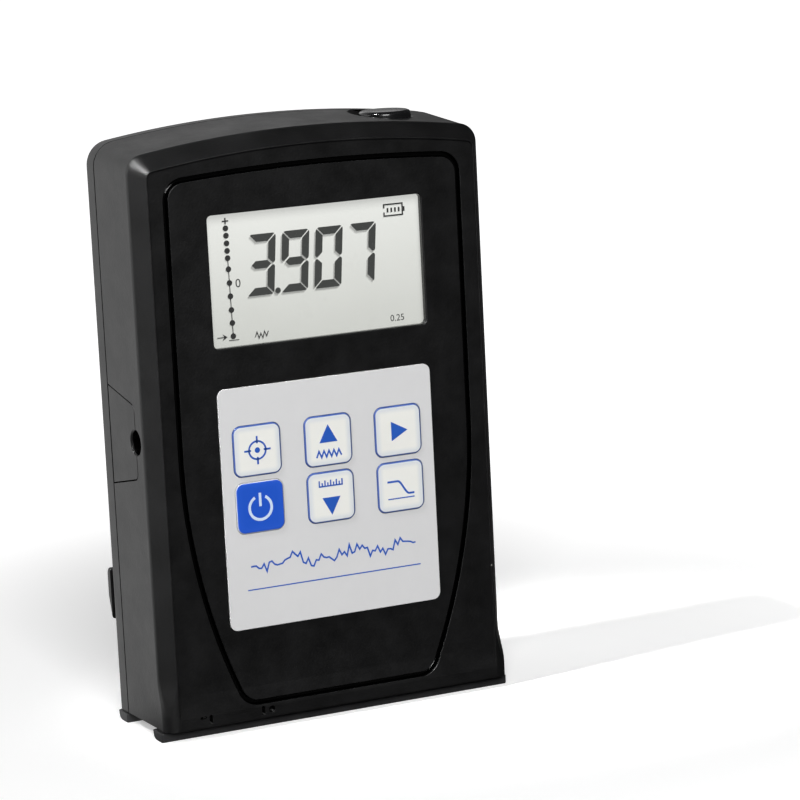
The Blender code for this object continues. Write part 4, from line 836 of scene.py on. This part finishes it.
def key_symbols(name):
    """Plain signs for the keys: target, power ring, arrows, start triangle and a filter curve."""
    x, z = KEYS[name]
    if name == "power":
        return [sector(x, z - 0.15, 2.35, 1.85, 118, 422), stroke([(x, z + 0.1), (x, z + 2.5)], 0.48)]
    if name == "calibrate":
        return [sector(x, z, 1.75, 1.42, 0, 360 - 0.01, 64), disc(x, z, 0.5)] + [
            stroke([(x + a * 1.2, z + b * 1.2), (x + a * 2.5, z + b * 2.5)], 0.34)
            for a, b in ((1, 0), (-1, 0), (0, 1), (0, -1))]
    if name == "start":
        return [[(x - 1.35, z + 1.75), (x + 1.85, z), (x - 1.35, z - 1.75)]]
    if name == "cutoff":
        s = np.linspace(0, 1, 15)
        fall = np.stack([x - 0.6 + 2.2 * s, z + 1.0 - 2.4 * s * s * (3 - 2 * s)], 1)
        return [stroke(np.concatenate([[(x - 2.6, z + 1.0)], fall, [(x + 2.6, z - 1.4)]]), 0.36),
                stroke([(x - 2.6, z - 2.1), (x + 2.6, z - 2.1)], 0.22)]
    up = 1 if name == "up" else -1
    wave = [(x - 2.4 + 0.48 * k, z - up * 2.35 + (0.55 if k % 2 else -0.55)) for k in range(11)]
    if name == "down":
        wave = None
        ticks = [stroke([(x + dx, z + 2.0), (x + dx, z + (3.0 if k % 2 == 0 else 2.6))], 0.26)
                 for k, dx in enumerate(np.linspace(-2.2, 2.2, 9))]
        ticks.append(stroke([(x - 2.33, z + 1.95), (x + 2.33, z + 1.95)], 0.26))
    base = z - 0.33 if name == "up" else z - 0.1
    arrow = [(x - 1.75, base), (x + 1.75, base), (x, base + up * 3.2)]
    return [arrow] + ([stroke(wave, 0.3)] if wave else ticks)


def label_lines():
    """Blue measuring trace across the lower part of the film: seeded roughness over a slow wave, and its mean
    line."""
    rng = np.random.default_rng(7)
    x = np.linspace(-16.0, 16.0, 65)
    fade = np.clip((16.0 - np.abs(x)) / 4.0, 0, 1)
    z = 29.3 + fade * (0.55 * np.sin(x * 0.55) + rng.uniform(-1.15, 1.15, x.size))
    return [stroke(np.stack([x, z], 1), 0.3), stroke([(-16.8, 25.2), (16.8, 25.2)], 0.22)]


# ---------------------------------------------------------------- rails, slide, pickup, screws

def make_rail(name, node):
    """Foot rail: a section with a rounded front lower edge and a larger round at the rear lower edge, its ends
    drawn in over the last tenths."""
    low, high = node_box(node)
    y0, y1, top = low[1], high[1], FOOT_H - FIT
    section = filleted([(y0 + 1.2, 0.0), (y0, 0.0), (y0, top), (y1, top), (y1, 0.0), (y0 + 1.2, 0.0)],
                       (0.35, 0.15, 0.15, 1.5), 7)[:-1]
    centre = section.mean(0)
    half, r = high[0], 0.3
    ends = [(1 - r / 2 * (1 - math.sin(a)), half - r * (1 - math.cos(a))) for a in np.radians((0, 30, 60, 90))]
    stations = [(share, -x) for share, x in ends] + [(share, x) for share, x in ends[::-1]]
    rings = [np.insert(centre + (section - centre) * share, 0, x, axis=1) for share, x in stations]
    rail = skin(name, np.stack(rings))
    mid = (y0 + y1) / 2
    carve(rail, block("spine", -25.0, 25.0, mid - 0.8, mid + 0.8, top - 0.4, high[2]), operation="UNION")
    return rail


def make_thumb_slide():
    """Thumb piece: wedge section with rounded corners, three grip ridges, shank and plate behind the wall."""
    x0, x1 = -33.4, -24.4
    front, back, low, high = REAR_Y + FIT, REAR_Y + 2.3, 18.0, 27.2
    outline = filleted([(front, 22.0), (front, low), (front + 0.3, low), (back, low + 4.0), (back, high),
                        (front, high), (front, 22.0)], (0.1, 0.15, 1.2, 1.0, 0.2), 6)[:-1]
    centre = outline.mean(0)
    half = (x1 - x0) / 2
    stations = []
    for a in np.radians(np.linspace(0, 90, 6)):
        stations.append((0.6 * (1 - math.sin(a)), -half + 0.6 * (1 - math.cos(a))))
    stations += [(draw, -x) for draw, x in stations[::-1]]
    span = outline.max(0) - outline.min(0)
    rings = []
    for draw, x in stations:
        scale = 1 - 2 * draw / span
        ring = (outline - outline.min(0)) * scale + outline.min(0) + [0.0, draw]
        rings.append(np.insert(ring, 0, x + (x0 + x1) / 2, axis=1))
    knob = skin("thumb_piece", np.stack(rings))
    ridges = [prism(f"ridge_{k}", rounded_rect((x0 + x1) / 2, z, 5.6, 0.5, 0.24), 1, back - 0.35, back + 0.5)
              for k, z in enumerate((23.3, 24.4, 25.5))]
    carve(knob, *ridges)
    carve(knob, block("shank", -30.6, -27.2, 7.2, front + 0.4, 21.2, 23.6), operation="UNION")
    carve(knob, block("plate", -31.1, -26.7, 6.8, 8.0, 19.6, 25.2), operation="UNION")
    return knob


def make_screw(k):
    """Pan head with a rounded edge and a cross recess on a plain shank."""
    x, z = SCREWS[k]
    low, high = node_box(f"case_screw_{k + 1}")
    top = high[1]
    profile = filleted([(1.0, low[1]), (1.0, top - 1.4), (2.2, top - 1.4), (2.2, top), (0.05, top)],
                       (0.0, 0.1, 0.45), 6)
    screw = turned(f"screw_{k + 1}", profile, 1, (x, z), 48)
    turn = 20.0 + 37.0 * k
    c, s = math.cos(math.radians(turn)), math.sin(math.radians(turn))
    arms = []
    for w, h in ((2.5, 0.55), (0.55, 2.5)):
        wide = rounded_rect(0, 0, w, h, 0.1, 3) @ [[c, s], [-s, c]] + [x, z]
        deep = rounded_rect(0, 0, w * 0.45 + 0.1, h * 0.45 + 0.1, 0.04, 3) @ [[c, s], [-s, c]] + [x, z]
        arms.append(skin("arm", np.stack([at_depth(wide, top + 0.3), at_depth(wide, top - 0.15),
                                          at_depth(deep, top - 0.9)])))
    carve(screw, arms[0])
    carve(screw, arms[1])
    return screw


def make_skid():
    low, high = node_box("skid")
    a = np.radians(np.linspace(2, 80, 12))
    dome = np.stack([1.3 * np.sin(a), low[2] + 0.7 * (1 - np.cos(a))], 1)
    return turned("skid_ball", np.concatenate([dome, [[1.3, low[2] + 0.75], [1.3, high[2]]]]), 2,
                  ((low[0] + high[0]) / 2, (low[1] + high[1]) / 2), 64)


def make_tip():
    low, high = node_box("stylus_tip")
    profile = filleted([(0.04, low[2]), (0.1, low[2]), (0.5, low[2] + 0.55), (0.5, high[2])], (0.03, 0.1), 5)
    return turned("tip", profile, 2, ((low[0] + high[0]) / 2, (low[1] + high[1]) / 2), 48)


def make_pickup():
    """Pickup arm: side outline with rounded corners, carried across its width with rounded long edges."""
    low, high = node_box("pickup_body")
    y0, y1 = -0.45 - 1.9, -0.45 + 1.9
    outline = filleted([(-15, 9.5), (-24.6, 9.5), (-26.6, 7.9), (-26.6, 2.4), (-26.0, 1.8), (-22.6, 1.8),
                        (-21.8, 6.5), (-15, 6.5)], (0.4, 0.4, 0.2, 0.2, 0.2, 0.5), 6)
    tail = arc(-13.2, 8.0, 1.5, -90, 90, 16)
    outline = np.concatenate([outline[1:], tail])
    centre = np.array([(outline[:, 0].max() + outline[:, 0].min()) / 2, 6.5])
    rings = []
    for a in np.radians(np.linspace(0, 90, 5)):
        rings.append((0.25 * (1 - math.sin(a)), y0 + 0.25 * (1 - math.cos(a))))
    rows = rings + [(draw, y0 + y1 - y) for draw, y in rings[::-1]]
    loops = [at_depth(inset(outline, draw), y) for draw, y in rows]
    arm = skin("pickup_arm", np.stack(loops))
    carve(arm, prism("bore", arc(-13.2, 8.0, 1.1, 0, 360, 32)[:-1], 1, y0 - 1, y1 + 1))
    carve(arm, block("lug", -24.4, -22.8, y1 - 0.5, high[1], 7.8, 9.2), operation="UNION")
    return arm


def inset(outline, draw):
    """Closed outline moved inwards along the mean normals of its points."""
    ahead = np.roll(outline, -1, 0) - outline
    behind = outline - np.roll(outline, 1, 0)
    along = ahead / np.maximum(np.linalg.norm(ahead, axis=1), 1e-9)[:, None] + \
        behind / np.maximum(np.linalg.norm(behind, axis=1), 1e-9)[:, None]
    along /= np.maximum(np.linalg.norm(along, axis=1), 1e-9)[:, None]
    area = 0.5 * np.sum(outline[:, 0] * np.roll(outline[:, 1], -1) - np.roll(outline[:, 0], -1) * outline[:, 1])
    return outline + np.stack([-along[:, 1], along[:, 0]], 1) * draw * (1 if area > 0 else -1)


# ---------------------------------------------------------------- settings

class CaseSettings(bpy.types.PropertyGroup):
    colour: FloatVectorProperty(name="Case colour", description="Colour of the black mouldings", subtype="COLOR",
                                size=3, min=0, max=1, default=(0.0026, 0.0026, 0.0028))
    roughness: FloatProperty(name="Case roughness", description="Roughness of the grained mouldings",
                             default=0.42, min=0.05, max=1.0, subtype="FACTOR")
    rim_radius: FloatProperty(name="Rim radius", description="Rounding between the rim and the front bevel",
                              default=0.00014, min=0.00005, max=0.0003, unit="LENGTH")
    edge_radius: FloatProperty(name="Edge radius", description="Rounding between the front bevel and the walls",
                               default=0.0016, min=0.0003, max=0.0025, unit="LENGTH")


class DisplaySettings(bpy.types.PropertyGroup):
    reading: StringProperty(name="Reading", description="Four figures that the display shows", default="3907")
    panel_colour: FloatVectorProperty(name="Panel colour", description="Colour of the unlit display",
                                      subtype="COLOR", size=3, min=0, max=1, default=(0.26, 0.265, 0.25))
    ink_colour: FloatVectorProperty(name="Segment colour", description="Colour of the dark segments",
                                    subtype="COLOR", size=3, min=0, max=1, default=(0.020, 0.022, 0.019))
    # Glow: the backlight's strength, which also paints in the light that the window's recess keeps off the panel.
    glow: FloatProperty(name="Glow", description="Strength of the display's backlight", default=0.62, min=0.0,
                        max=2.0)


class KeypadSettings(bpy.types.PropertyGroup):
    film_colour: FloatVectorProperty(name="Film colour", description="Colour of the keypad film", subtype="COLOR",
                                     size=3, min=0, max=1, default=(0.69, 0.69, 0.695))
    key_colour: FloatVectorProperty(name="Key colour", description="Colour of the pale keys", subtype="COLOR",
                                    size=3, min=0, max=1, default=(0.85, 0.85, 0.81))
    print_colour: FloatVectorProperty(name="Print colour", description="Blue of the printed signs and lines",
                                      subtype="COLOR", size=3, min=0, max=1, default=(0.022, 0.10, 0.48))
    line_colour: FloatVectorProperty(name="Line colour", description="Blue of the line round each pale key",
                                     subtype="COLOR", size=3, min=0, max=1, default=(0.05, 0.10, 0.33))
    line_width: FloatProperty(name="Key line width", description="Width of the line round each pale key",
                              default=0.00028, min=0.0001, max=0.001, unit="LENGTH")


class StudioSettings(bpy.types.PropertyGroup):
    key_power: FloatProperty(name="Key light", description="Power of the large light at the upper left",
                             default=13.0, min=0.0, max=200.0, unit="POWER")
    back_power: FloatProperty(name="Back light", description="Power of the wide light behind the object",
                              default=0.30, min=0.0, max=200.0, unit="POWER")
    room: FloatProperty(name="Room light", description="Brightness of the room", default=0.8, min=0.0, max=3.0)


class TesterSettings(bpy.types.PropertyGroup):
    case: PointerProperty(name="Case", description="Case settings", type=CaseSettings)
    display: PointerProperty(name="Display", description="Display settings", type=DisplaySettings)
    keypad: PointerProperty(name="Keypad", description="Keypad settings", type=KeypadSettings)
    studio: PointerProperty(name="Studio", description="Studio settings", type=StudioSettings)


def case_plastic(name):
    case = settings().case
    return plastic(name, tuple(case.colour), case.roughness, grain=2600.0, depth=0.035, dust=0.8, sway=0.45)


def shell_plastic_painted_shade(name):
    """Case plastic with painted shade: black colour, and a smooth surface, where little light gets: below the level
    of the face, inside the groove and the openings, and in the joint between the shells."""
    mat = case_plastic(name)
    tree, shader = mat.node_tree, mat.node_tree.nodes["Principled BSDF"]
    parts = add(tree, "ShaderNodeSeparateXYZ", {0: object_point(tree)}).outputs
    inside = maths(tree, "LESS_THAN", maths(tree, "ABSOLUTE", parts["X"]), (GROOVE_HALF + GROOVE_W) * MM)
    low = maths(tree, "LESS_THAN", parts["Z"], (GROOVE_TOP + GROOVE_W) * MM)
    sunk = spread(tree, parts["Y"], (FACE_Y + 0.12) * MM, (FACE_Y + 0.4) * MM)
    sunk = maths(tree, "MULTIPLY", sunk, maths(tree, "MULTIPLY", inside, low))
    ahead = maths(tree, "LESS_THAN", parts["Y"], (SEAM_Y - 1.0) * MM)
    gap = maths(tree, "ABSOLUTE", maths(tree, "SUBTRACT", parts["Y"], (SEAM_Y + REAR_JOINT_Y) / 2 * MM))
    joint = spread(tree, gap, 0.21 * MM, 0.16 * MM)
    share = maths(tree, "ADD", maths(tree, "MULTIPLY", sunk, ahead), joint, clamp=True)
    # Painted shade: the base colour goes near black in the masked recesses and the joint; the roughness drops there
    # too.
    for key, deep in (("Base Color", 0.0004), ("Roughness", 0.12)):
        plain = shader.inputs[key].links[0].from_socket
        tree.links.new(blend_colour(tree, share, plain, (deep, deep, deep)), shader.inputs[key])
    return mat


def cover_plastic_painted_shade(name):
    """Case plastic with painted shade: black colour, and a smooth surface, inside the jack's hole, below the side
    wall.
    """
    mat = case_plastic(name)
    tree, shader = mat.node_tree, mat.node_tree.nodes["Principled BSDF"]
    across = add(tree, "ShaderNodeSeparateXYZ", {0: object_point(tree)}).outputs["X"]
    share = spread(tree, across, (0.45 - HALF_W) * MM, (0.7 - HALF_W) * MM)
    # Painted shade: the base colour goes near black inside the hole; the roughness drops there too.
    for key, deep in (("Base Color", 0.0004), ("Roughness", 0.12)):
        plain = shader.inputs[key].links[0].from_socket
        tree.links.new(blend_colour(tree, share, plain, (deep, deep, deep)), shader.inputs[key])
    return mat


# ---------------------------------------------------------------- operators

class TESTER_OT_front_shell(bpy.types.Operator):
    """Front housing with its bevel, face line, openings, dish and travel marks"""
    bl_idname = "tester.front_shell"
    bl_label = "Front housing"

    def execute(self, context):
        case = settings().case
        shell = make_front_shell(case.rim_radius / MM, case.edge_radius / MM)
        dress(shell, shell_plastic_painted_shade("front_moulding"), "case", "housing_front", "front_housing", crease=28)
        return {"FINISHED"}


class TESTER_OT_rear_shell(bpy.types.Operator):
    """Rear housing with its lip, screw recesses and thumb slot, and the jack cover beside it"""
    bl_idname = "tester.rear_shell"
    bl_label = "Rear housing and jack cover"

    def execute(self, context):
        dress(make_rear_shell(), shell_plastic_painted_shade("rear_moulding"), "case", "housing_rear", "rear_housing", crease=28)
        dress(make_jack_cover(), cover_plastic_painted_shade("cover_moulding"), "case", "cover_black", "jack_cover", crease=40)
        return {"FINISHED"}


class TESTER_OT_display(bpy.types.Operator):
    """Display lens, liquid crystal panel, its segments with their faint shadows, and the diffuser"""
    bl_idname = "tester.display"
    bl_label = "Display"

    def execute(self, context):
        look = settings().display
        glass = plastic("clear_lens", (0.75, 0.77, 0.76), 0.08, grain=800.0, depth=0.0005, sway=0.02)
        glass.node_tree.nodes["Principled BSDF"].inputs["Alpha"].default_value = 0.03
        dress(make_window(), glass, "case", "lens_clear", "display_window")
        dress(make_panel("crystal_panel", "lcd_panel", 0.06), panel_face(tuple(look.panel_colour), look.glow), "case",
              "lcd_face", "lcd_panel")
        dress(make_panel("diffuser_plate", "lcd_backlight", 0.1), film("diffuser", (0.80, 0.82, 0.80), 0.5), "case",
              "diffuser_white", "lcd_backlight")
        y = node_box("lcd_panel")[0][1]
        value, shapes = display_shapes(look.reading)
        ink = film("segment_ink", tuple(look.ink_colour), 0.5, dust=0.0)
        fine_ink = plastic("fine_segment_ink", [0.1 * c for c in look.ink_colour], 0.25, grain=5000.0, depth=0.002,
                           specular=0.05)
        dress(decal("display_reading", value, y - 0.05), ink, "case", "lcd_face")
        dress(decal("display_scale", shapes, y - 0.05), fine_ink, "case", "lcd_face")
        small = [("0", -14.18, 78.83, 1.5), ("0.25", 15.95, 69.45, 1.15)]
        dress(figures("display_figures", small, y - 0.05), fine_ink, "case", "lcd_face")
        # Painted shadows: see-through grey copies of the segments, moved down and to the left and set just behind
        # them.
        for k, (dx, dz, alpha) in enumerate(((-0.14, -0.18, 0.09), (-0.27, -0.34, 0.09), (-0.4, -0.5, 0.06))):
            shade = film(f"segment_shade_{k}", (0.16, 0.165, 0.15), 0.6, dust=0.0)
            shade.node_tree.nodes["Principled BSDF"].inputs["Alpha"].default_value = alpha
            moved = [np.asarray(s, float) + [dx, dz] for s in (value if k else value + shapes)]
            dress(decal(f"segment_shadow_{k}", moved, y - 0.02 - 0.008 * (2 - k), 0.004), shade, "case", "lcd_face")
        return {"FINISHED"}


class TESTER_OT_keypad(bpy.types.Operator):
    """Printed film, six key caps with their signs, and the measuring trace under them"""
    bl_idname = "tester.keypad"
    bl_label = "Keypad"

    def execute(self, context):
        look = settings().keypad
        blue, pale = tuple(look.print_colour), tuple(look.key_colour)
        ink = film("blue_print", blue, 0.4, dust=0.0)
        white = film("white_print", (0.62, 0.74, 0.92), 0.4, dust=0.0)
        dress(make_overlay(), film("film_face", tuple(look.film_colour), 0.36), "case", "overlay_pale",
              "keypad_overlay", crease=30)
        for name, centre in KEYS.items():
            if name == "power":
                mat = key_face("power_key_face", centre, (0.016, 0.092, 0.57), (0.50, 0.52, 0.56), (0.02, 0.10, 0.6), 0.16)
            else:
                mat = key_face(f"{name}_key_face", centre, pale, tuple(look.line_colour), (0.72, 0.75, 0.77),
                               look.line_width / MM)
            body = f"{name}_key"
            dress(make_key(name), mat, body, f"key_{name}_face", f"key_{name}")
            sign = decal(f"sign_{name}", key_symbols(name), KEY_Y + 0.008, 0.03)
            dress(sign, white if name == "power" else ink, body, f"key_{name}_face")
        dress(decal("film_trace", label_lines(), LABEL_Y - 0.006, 0.03), ink, "case", "overlay_pale")
        return {"FINISHED"}


class TESTER_OT_top_button(bpy.types.Operator):
    """Domed push button in its dish"""
    bl_idname = "tester.top_button"
    bl_label = "Top button"

    def execute(self, context):
        gloss = plastic("button_gloss", (0.006, 0.006, 0.0065), 0.2, grain=3500.0, depth=0.006, dust=0.3)
        dress(make_top_button(), gloss, "top_push_button", "button_black", "top_button", crease=50)
        return {"FINISHED"}


class TESTER_OT_rails(bpy.types.Operator):
    """Front and rear foot rails"""
    bl_idname = "tester.rails"
    bl_label = "Foot rails"

    def execute(self, context):
        rubber = plastic("rail_rubber", (0.022, 0.022, 0.023), 0.5, grain=1800.0, depth=0.05, dust=1.0)
        for name, node in (("front_foot_rail", "front_rail"), ("rear_foot_rail", "rear_rail")):
            dress(make_rail(name, node), rubber, "case", "rail_black", node)
        return {"FINISHED"}


class TESTER_OT_thumb_slide(bpy.types.Operator):
    """Thumb piece on the back"""
    bl_idname = "tester.thumb_slide"
    bl_label = "Thumb slide"

    def execute(self, context):
        dress(make_thumb_slide(), case_plastic("thumb_moulding"), "lifter", "thumb_black", "thumb_slide")
        return {"FINISHED"}


class TESTER_OT_case_screws(bpy.types.Operator):
    """Four screws in the rear housing"""
    bl_idname = "tester.case_screws"
    bl_label = "Case screws"

    def execute(self, context):
        steel = metal("screw_plating", (0.36, 0.36, 0.37), 0.32, (900.0, 900.0, 900.0))
        for k in range(len(SCREWS)):
            dress(make_screw(k), steel, "case", "screw_steel", f"case_screw_{k + 1}")
        return {"FINISHED"}


class TESTER_OT_pickup(bpy.types.Operator):
    """Pickup arm, skid and stylus tip under the base"""
    bl_idname = "tester.pickup"
    bl_label = "Pickup"

    def execute(self, context):
        arm = plastic("pickup_moulding", (0.014, 0.014, 0.015), 0.38, grain=4000.0, depth=0.015)
        dress(make_pickup(), arm, "pickup", "pickup_black", "pickup_body")
        steel = metal("ground_steel", (0.62, 0.62, 0.60), 0.2, (1500.0, 1500.0, 200.0), 0.004)
        dress(make_skid(), steel, "pickup", "bright_steel", "skid")
        dress(make_tip(), steel, "pickup", "bright_steel", "stylus_tip")
        return {"FINISHED"}


class TESTER_OT_inner_parts(bpy.types.Operator):
    """Finishes of the boards, drive, battery and switches inside the case"""
    bl_idname = "tester.inner_parts"
    bl_label = "Inner parts"

    def execute(self, context):
        black = plastic("component_black", (0.015, 0.015, 0.016), 0.4, grain=3000.0, depth=0.02)
        sheet = metal("pressed_steel", (0.55, 0.55, 0.54), 0.34, (120.0, 3000.0, 3000.0))
        ground = metal("round_steel", (0.62, 0.62, 0.61), 0.2, (80.0, 4000.0, 4000.0), 0.004)
        brass = metal("turned_brass", (0.66, 0.50, 0.22), 0.28, (2500.0, 300.0, 300.0))
        finishes = {
            "main_board": plastic("board_resist", (0.012, 0.11, 0.045), 0.34, grain=700.0, depth=0.03, coat=0.3),
            "battery_pack": plastic("cell_sleeve", (0.02, 0.07, 0.26), 0.3, grain=500.0, depth=0.03, coat=0.4),
            "carriage": plastic("carriage_nylon", (0.70, 0.70, 0.65), 0.42, grain=2200.0, depth=0.02),
            "drive_frame": sheet, "drive_motor": sheet, "lift_bar": sheet, "gearbox": brass, "lead_screw": brass,
            "guide_rod": ground, "pivot_pin": ground, "buzzer": black, "charging_jack": black, "top_switch": black,
        }
        finishes.update({f"switch_{name}": black for name in KEYS})
        for name, mat in finishes.items():
            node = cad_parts[name]
            node.data.materials.clear()
            node.data.materials.append(mat)
        return {"FINISHED"}


class TESTER_OT_studio(bpy.types.Operator):
    """Pale floor, soft lights, room light and the camera"""
    bl_idname = "tester.studio"
    bl_label = "Studio"

    def execute(self, context):
        look = settings().studio
        scene = context.scene
        floor = block("floor", -4000, 4000, -4000, 4000, -20, 0)
        floor.data.materials.append(floor_finish())

        for name, place, size, power, aim in (
                ("key_light", (-0.32, -0.92, 0.60), (0.5, 0.5), look.key_power, (0, 0, 0.05)),
                ("back_light", (0.28, 1.0, 0.46), (0.6, 0.22), look.back_power, (0, 0, 0.1)),
                ("left_light", (-1.0, 0.45, 0.28), (0.7, 0.4), 1.6, (0, 0, 0.03))):
            data = bpy.data.lights.new(name, "AREA")
            data.shape, data.size, data.size_y, data.energy = "RECTANGLE", size[0], size[1], power
            light = bpy.data.objects.new(name, data)
            light.location = place
            light.rotation_euler = (Vector(place) - Vector(aim)).to_track_quat("Z", "Y").to_euler()
            scene.collection.objects.link(light)
            light.visible_camera = False

        data = bpy.data.lights.new("corner_light", "SPOT")
        data.energy, data.spot_size, data.spot_blend, data.shadow_soft_size = 200.0, math.radians(4.0), 1.0, 0.05
        light = bpy.data.objects.new("corner_light", data)
        light.location = (-0.52, -0.08, 0.78)
        light.rotation_euler = (light.location - Vector((-0.033, -0.010, 0.099))).to_track_quat("Z", "Y").to_euler()
        scene.collection.objects.link(light)

        world = bpy.data.worlds.new("room")
        world.use_nodes = True
        scene.world = world
        tree = world.node_tree
        tree.nodes.clear()
        path = add(tree, "ShaderNodeLightPath").outputs
        way = add(tree, "ShaderNodeTexCoord").outputs["Generated"]
        side = add(tree, "ShaderNodeVectorMath", {0: way, 1: (-0.50, 0.86, -0.10)}, operation="DOT_PRODUCT")
        share = spread(tree, side.outputs["Value"], 0.35, 0.97, 0.05, 1.0, smooth=True)
        seen = add(tree, "ShaderNodeBackground", {0: (1, 1, 1, 1), 1: 1.0}).outputs[0]
        soft = add(tree, "ShaderNodeBackground",
                   {0: (1, 1, 1, 1), 1: maths(tree, "MULTIPLY", share, look.room)}).outputs[0]
        mix = add(tree, "ShaderNodeMixShader", {0: path["Is Camera Ray"], 1: soft, 2: seen}).outputs[0]
        add(tree, "ShaderNodeOutputWorld", {0: mix})

        azimuth, elevation, roll = (math.radians(a) for a in (-25.56, 10.13, -2.855))
        target, distance, focal = Vector((19.858, -1.1, 52.903)) * MM, 0.63235, 3506.9
        back = Vector((math.sin(azimuth) * math.cos(elevation), -math.cos(azimuth) * math.cos(elevation),
                       math.sin(elevation)))
        right = Vector((math.cos(azimuth), math.sin(azimuth), 0))
        up = back.cross(right)
        turned_right = right * math.cos(roll) + up * math.sin(roll)
        turned_up = up * math.cos(roll) - right * math.sin(roll)
        data = bpy.data.cameras.new("camera")
        data.sensor_width = 36.0
        data.lens = focal * 36.0 / 800.0
        data.clip_start, data.clip_end = 0.01, 50.0
        camera = bpy.data.objects.new("camera", data)
        camera.matrix_world = Matrix.Translation(target + back * distance) @ Matrix(
            (turned_right, turned_up, back)).transposed().to_4x4()
        scene.collection.objects.link(camera)
        scene.camera = camera
        scene.view_settings.view_transform = "Standard"
        scene.view_settings.look = "None"
        return {"FINISHED"}


STEPS = (TESTER_OT_front_shell, TESTER_OT_rear_shell, TESTER_OT_display, TESTER_OT_keypad, TESTER_OT_top_button,
         TESTER_OT_rails, TESTER_OT_thumb_slide, TESTER_OT_case_screws, TESTER_OT_pickup, TESTER_OT_inner_parts,
         TESTER_OT_studio)


class TESTER_PT_panel(bpy.types.Panel):
    """Lists the settings and the steps that build the tester"""
    bl_idname = "TESTER_PT_panel"
    bl_label = "Surface roughness tester"
    bl_space_type = "VIEW_3D"
    bl_region_type = "UI"
    bl_category = "Tester"

    def draw(self, context):
        look = context.scene.tester
        for part in (look.case, look.display, look.keypad, look.studio):
            box = self.layout.box()
            for key in part.__annotations__:
                box.prop(part, key)
        for step in STEPS:
            self.layout.operator(step.bl_idname)


CLASSES = (CaseSettings, DisplaySettings, KeypadSettings, StudioSettings, TesterSettings, *STEPS, TESTER_PT_panel)


def register():
    for cls in CLASSES:
        bpy.utils.register_class(cls)
    bpy.types.Scene.tester = PointerProperty(type=TesterSettings)


def unregister():
    del bpy.types.Scene.tester
    for cls in reversed(CLASSES):
        bpy.utils.unregister_class(cls)


def main():
    register()
    for step in STEPS:
        space, action = step.bl_idname.split(".")
        getattr(getattr(bpy.ops, space), action)()


if __name__ == "__main__":
    main()
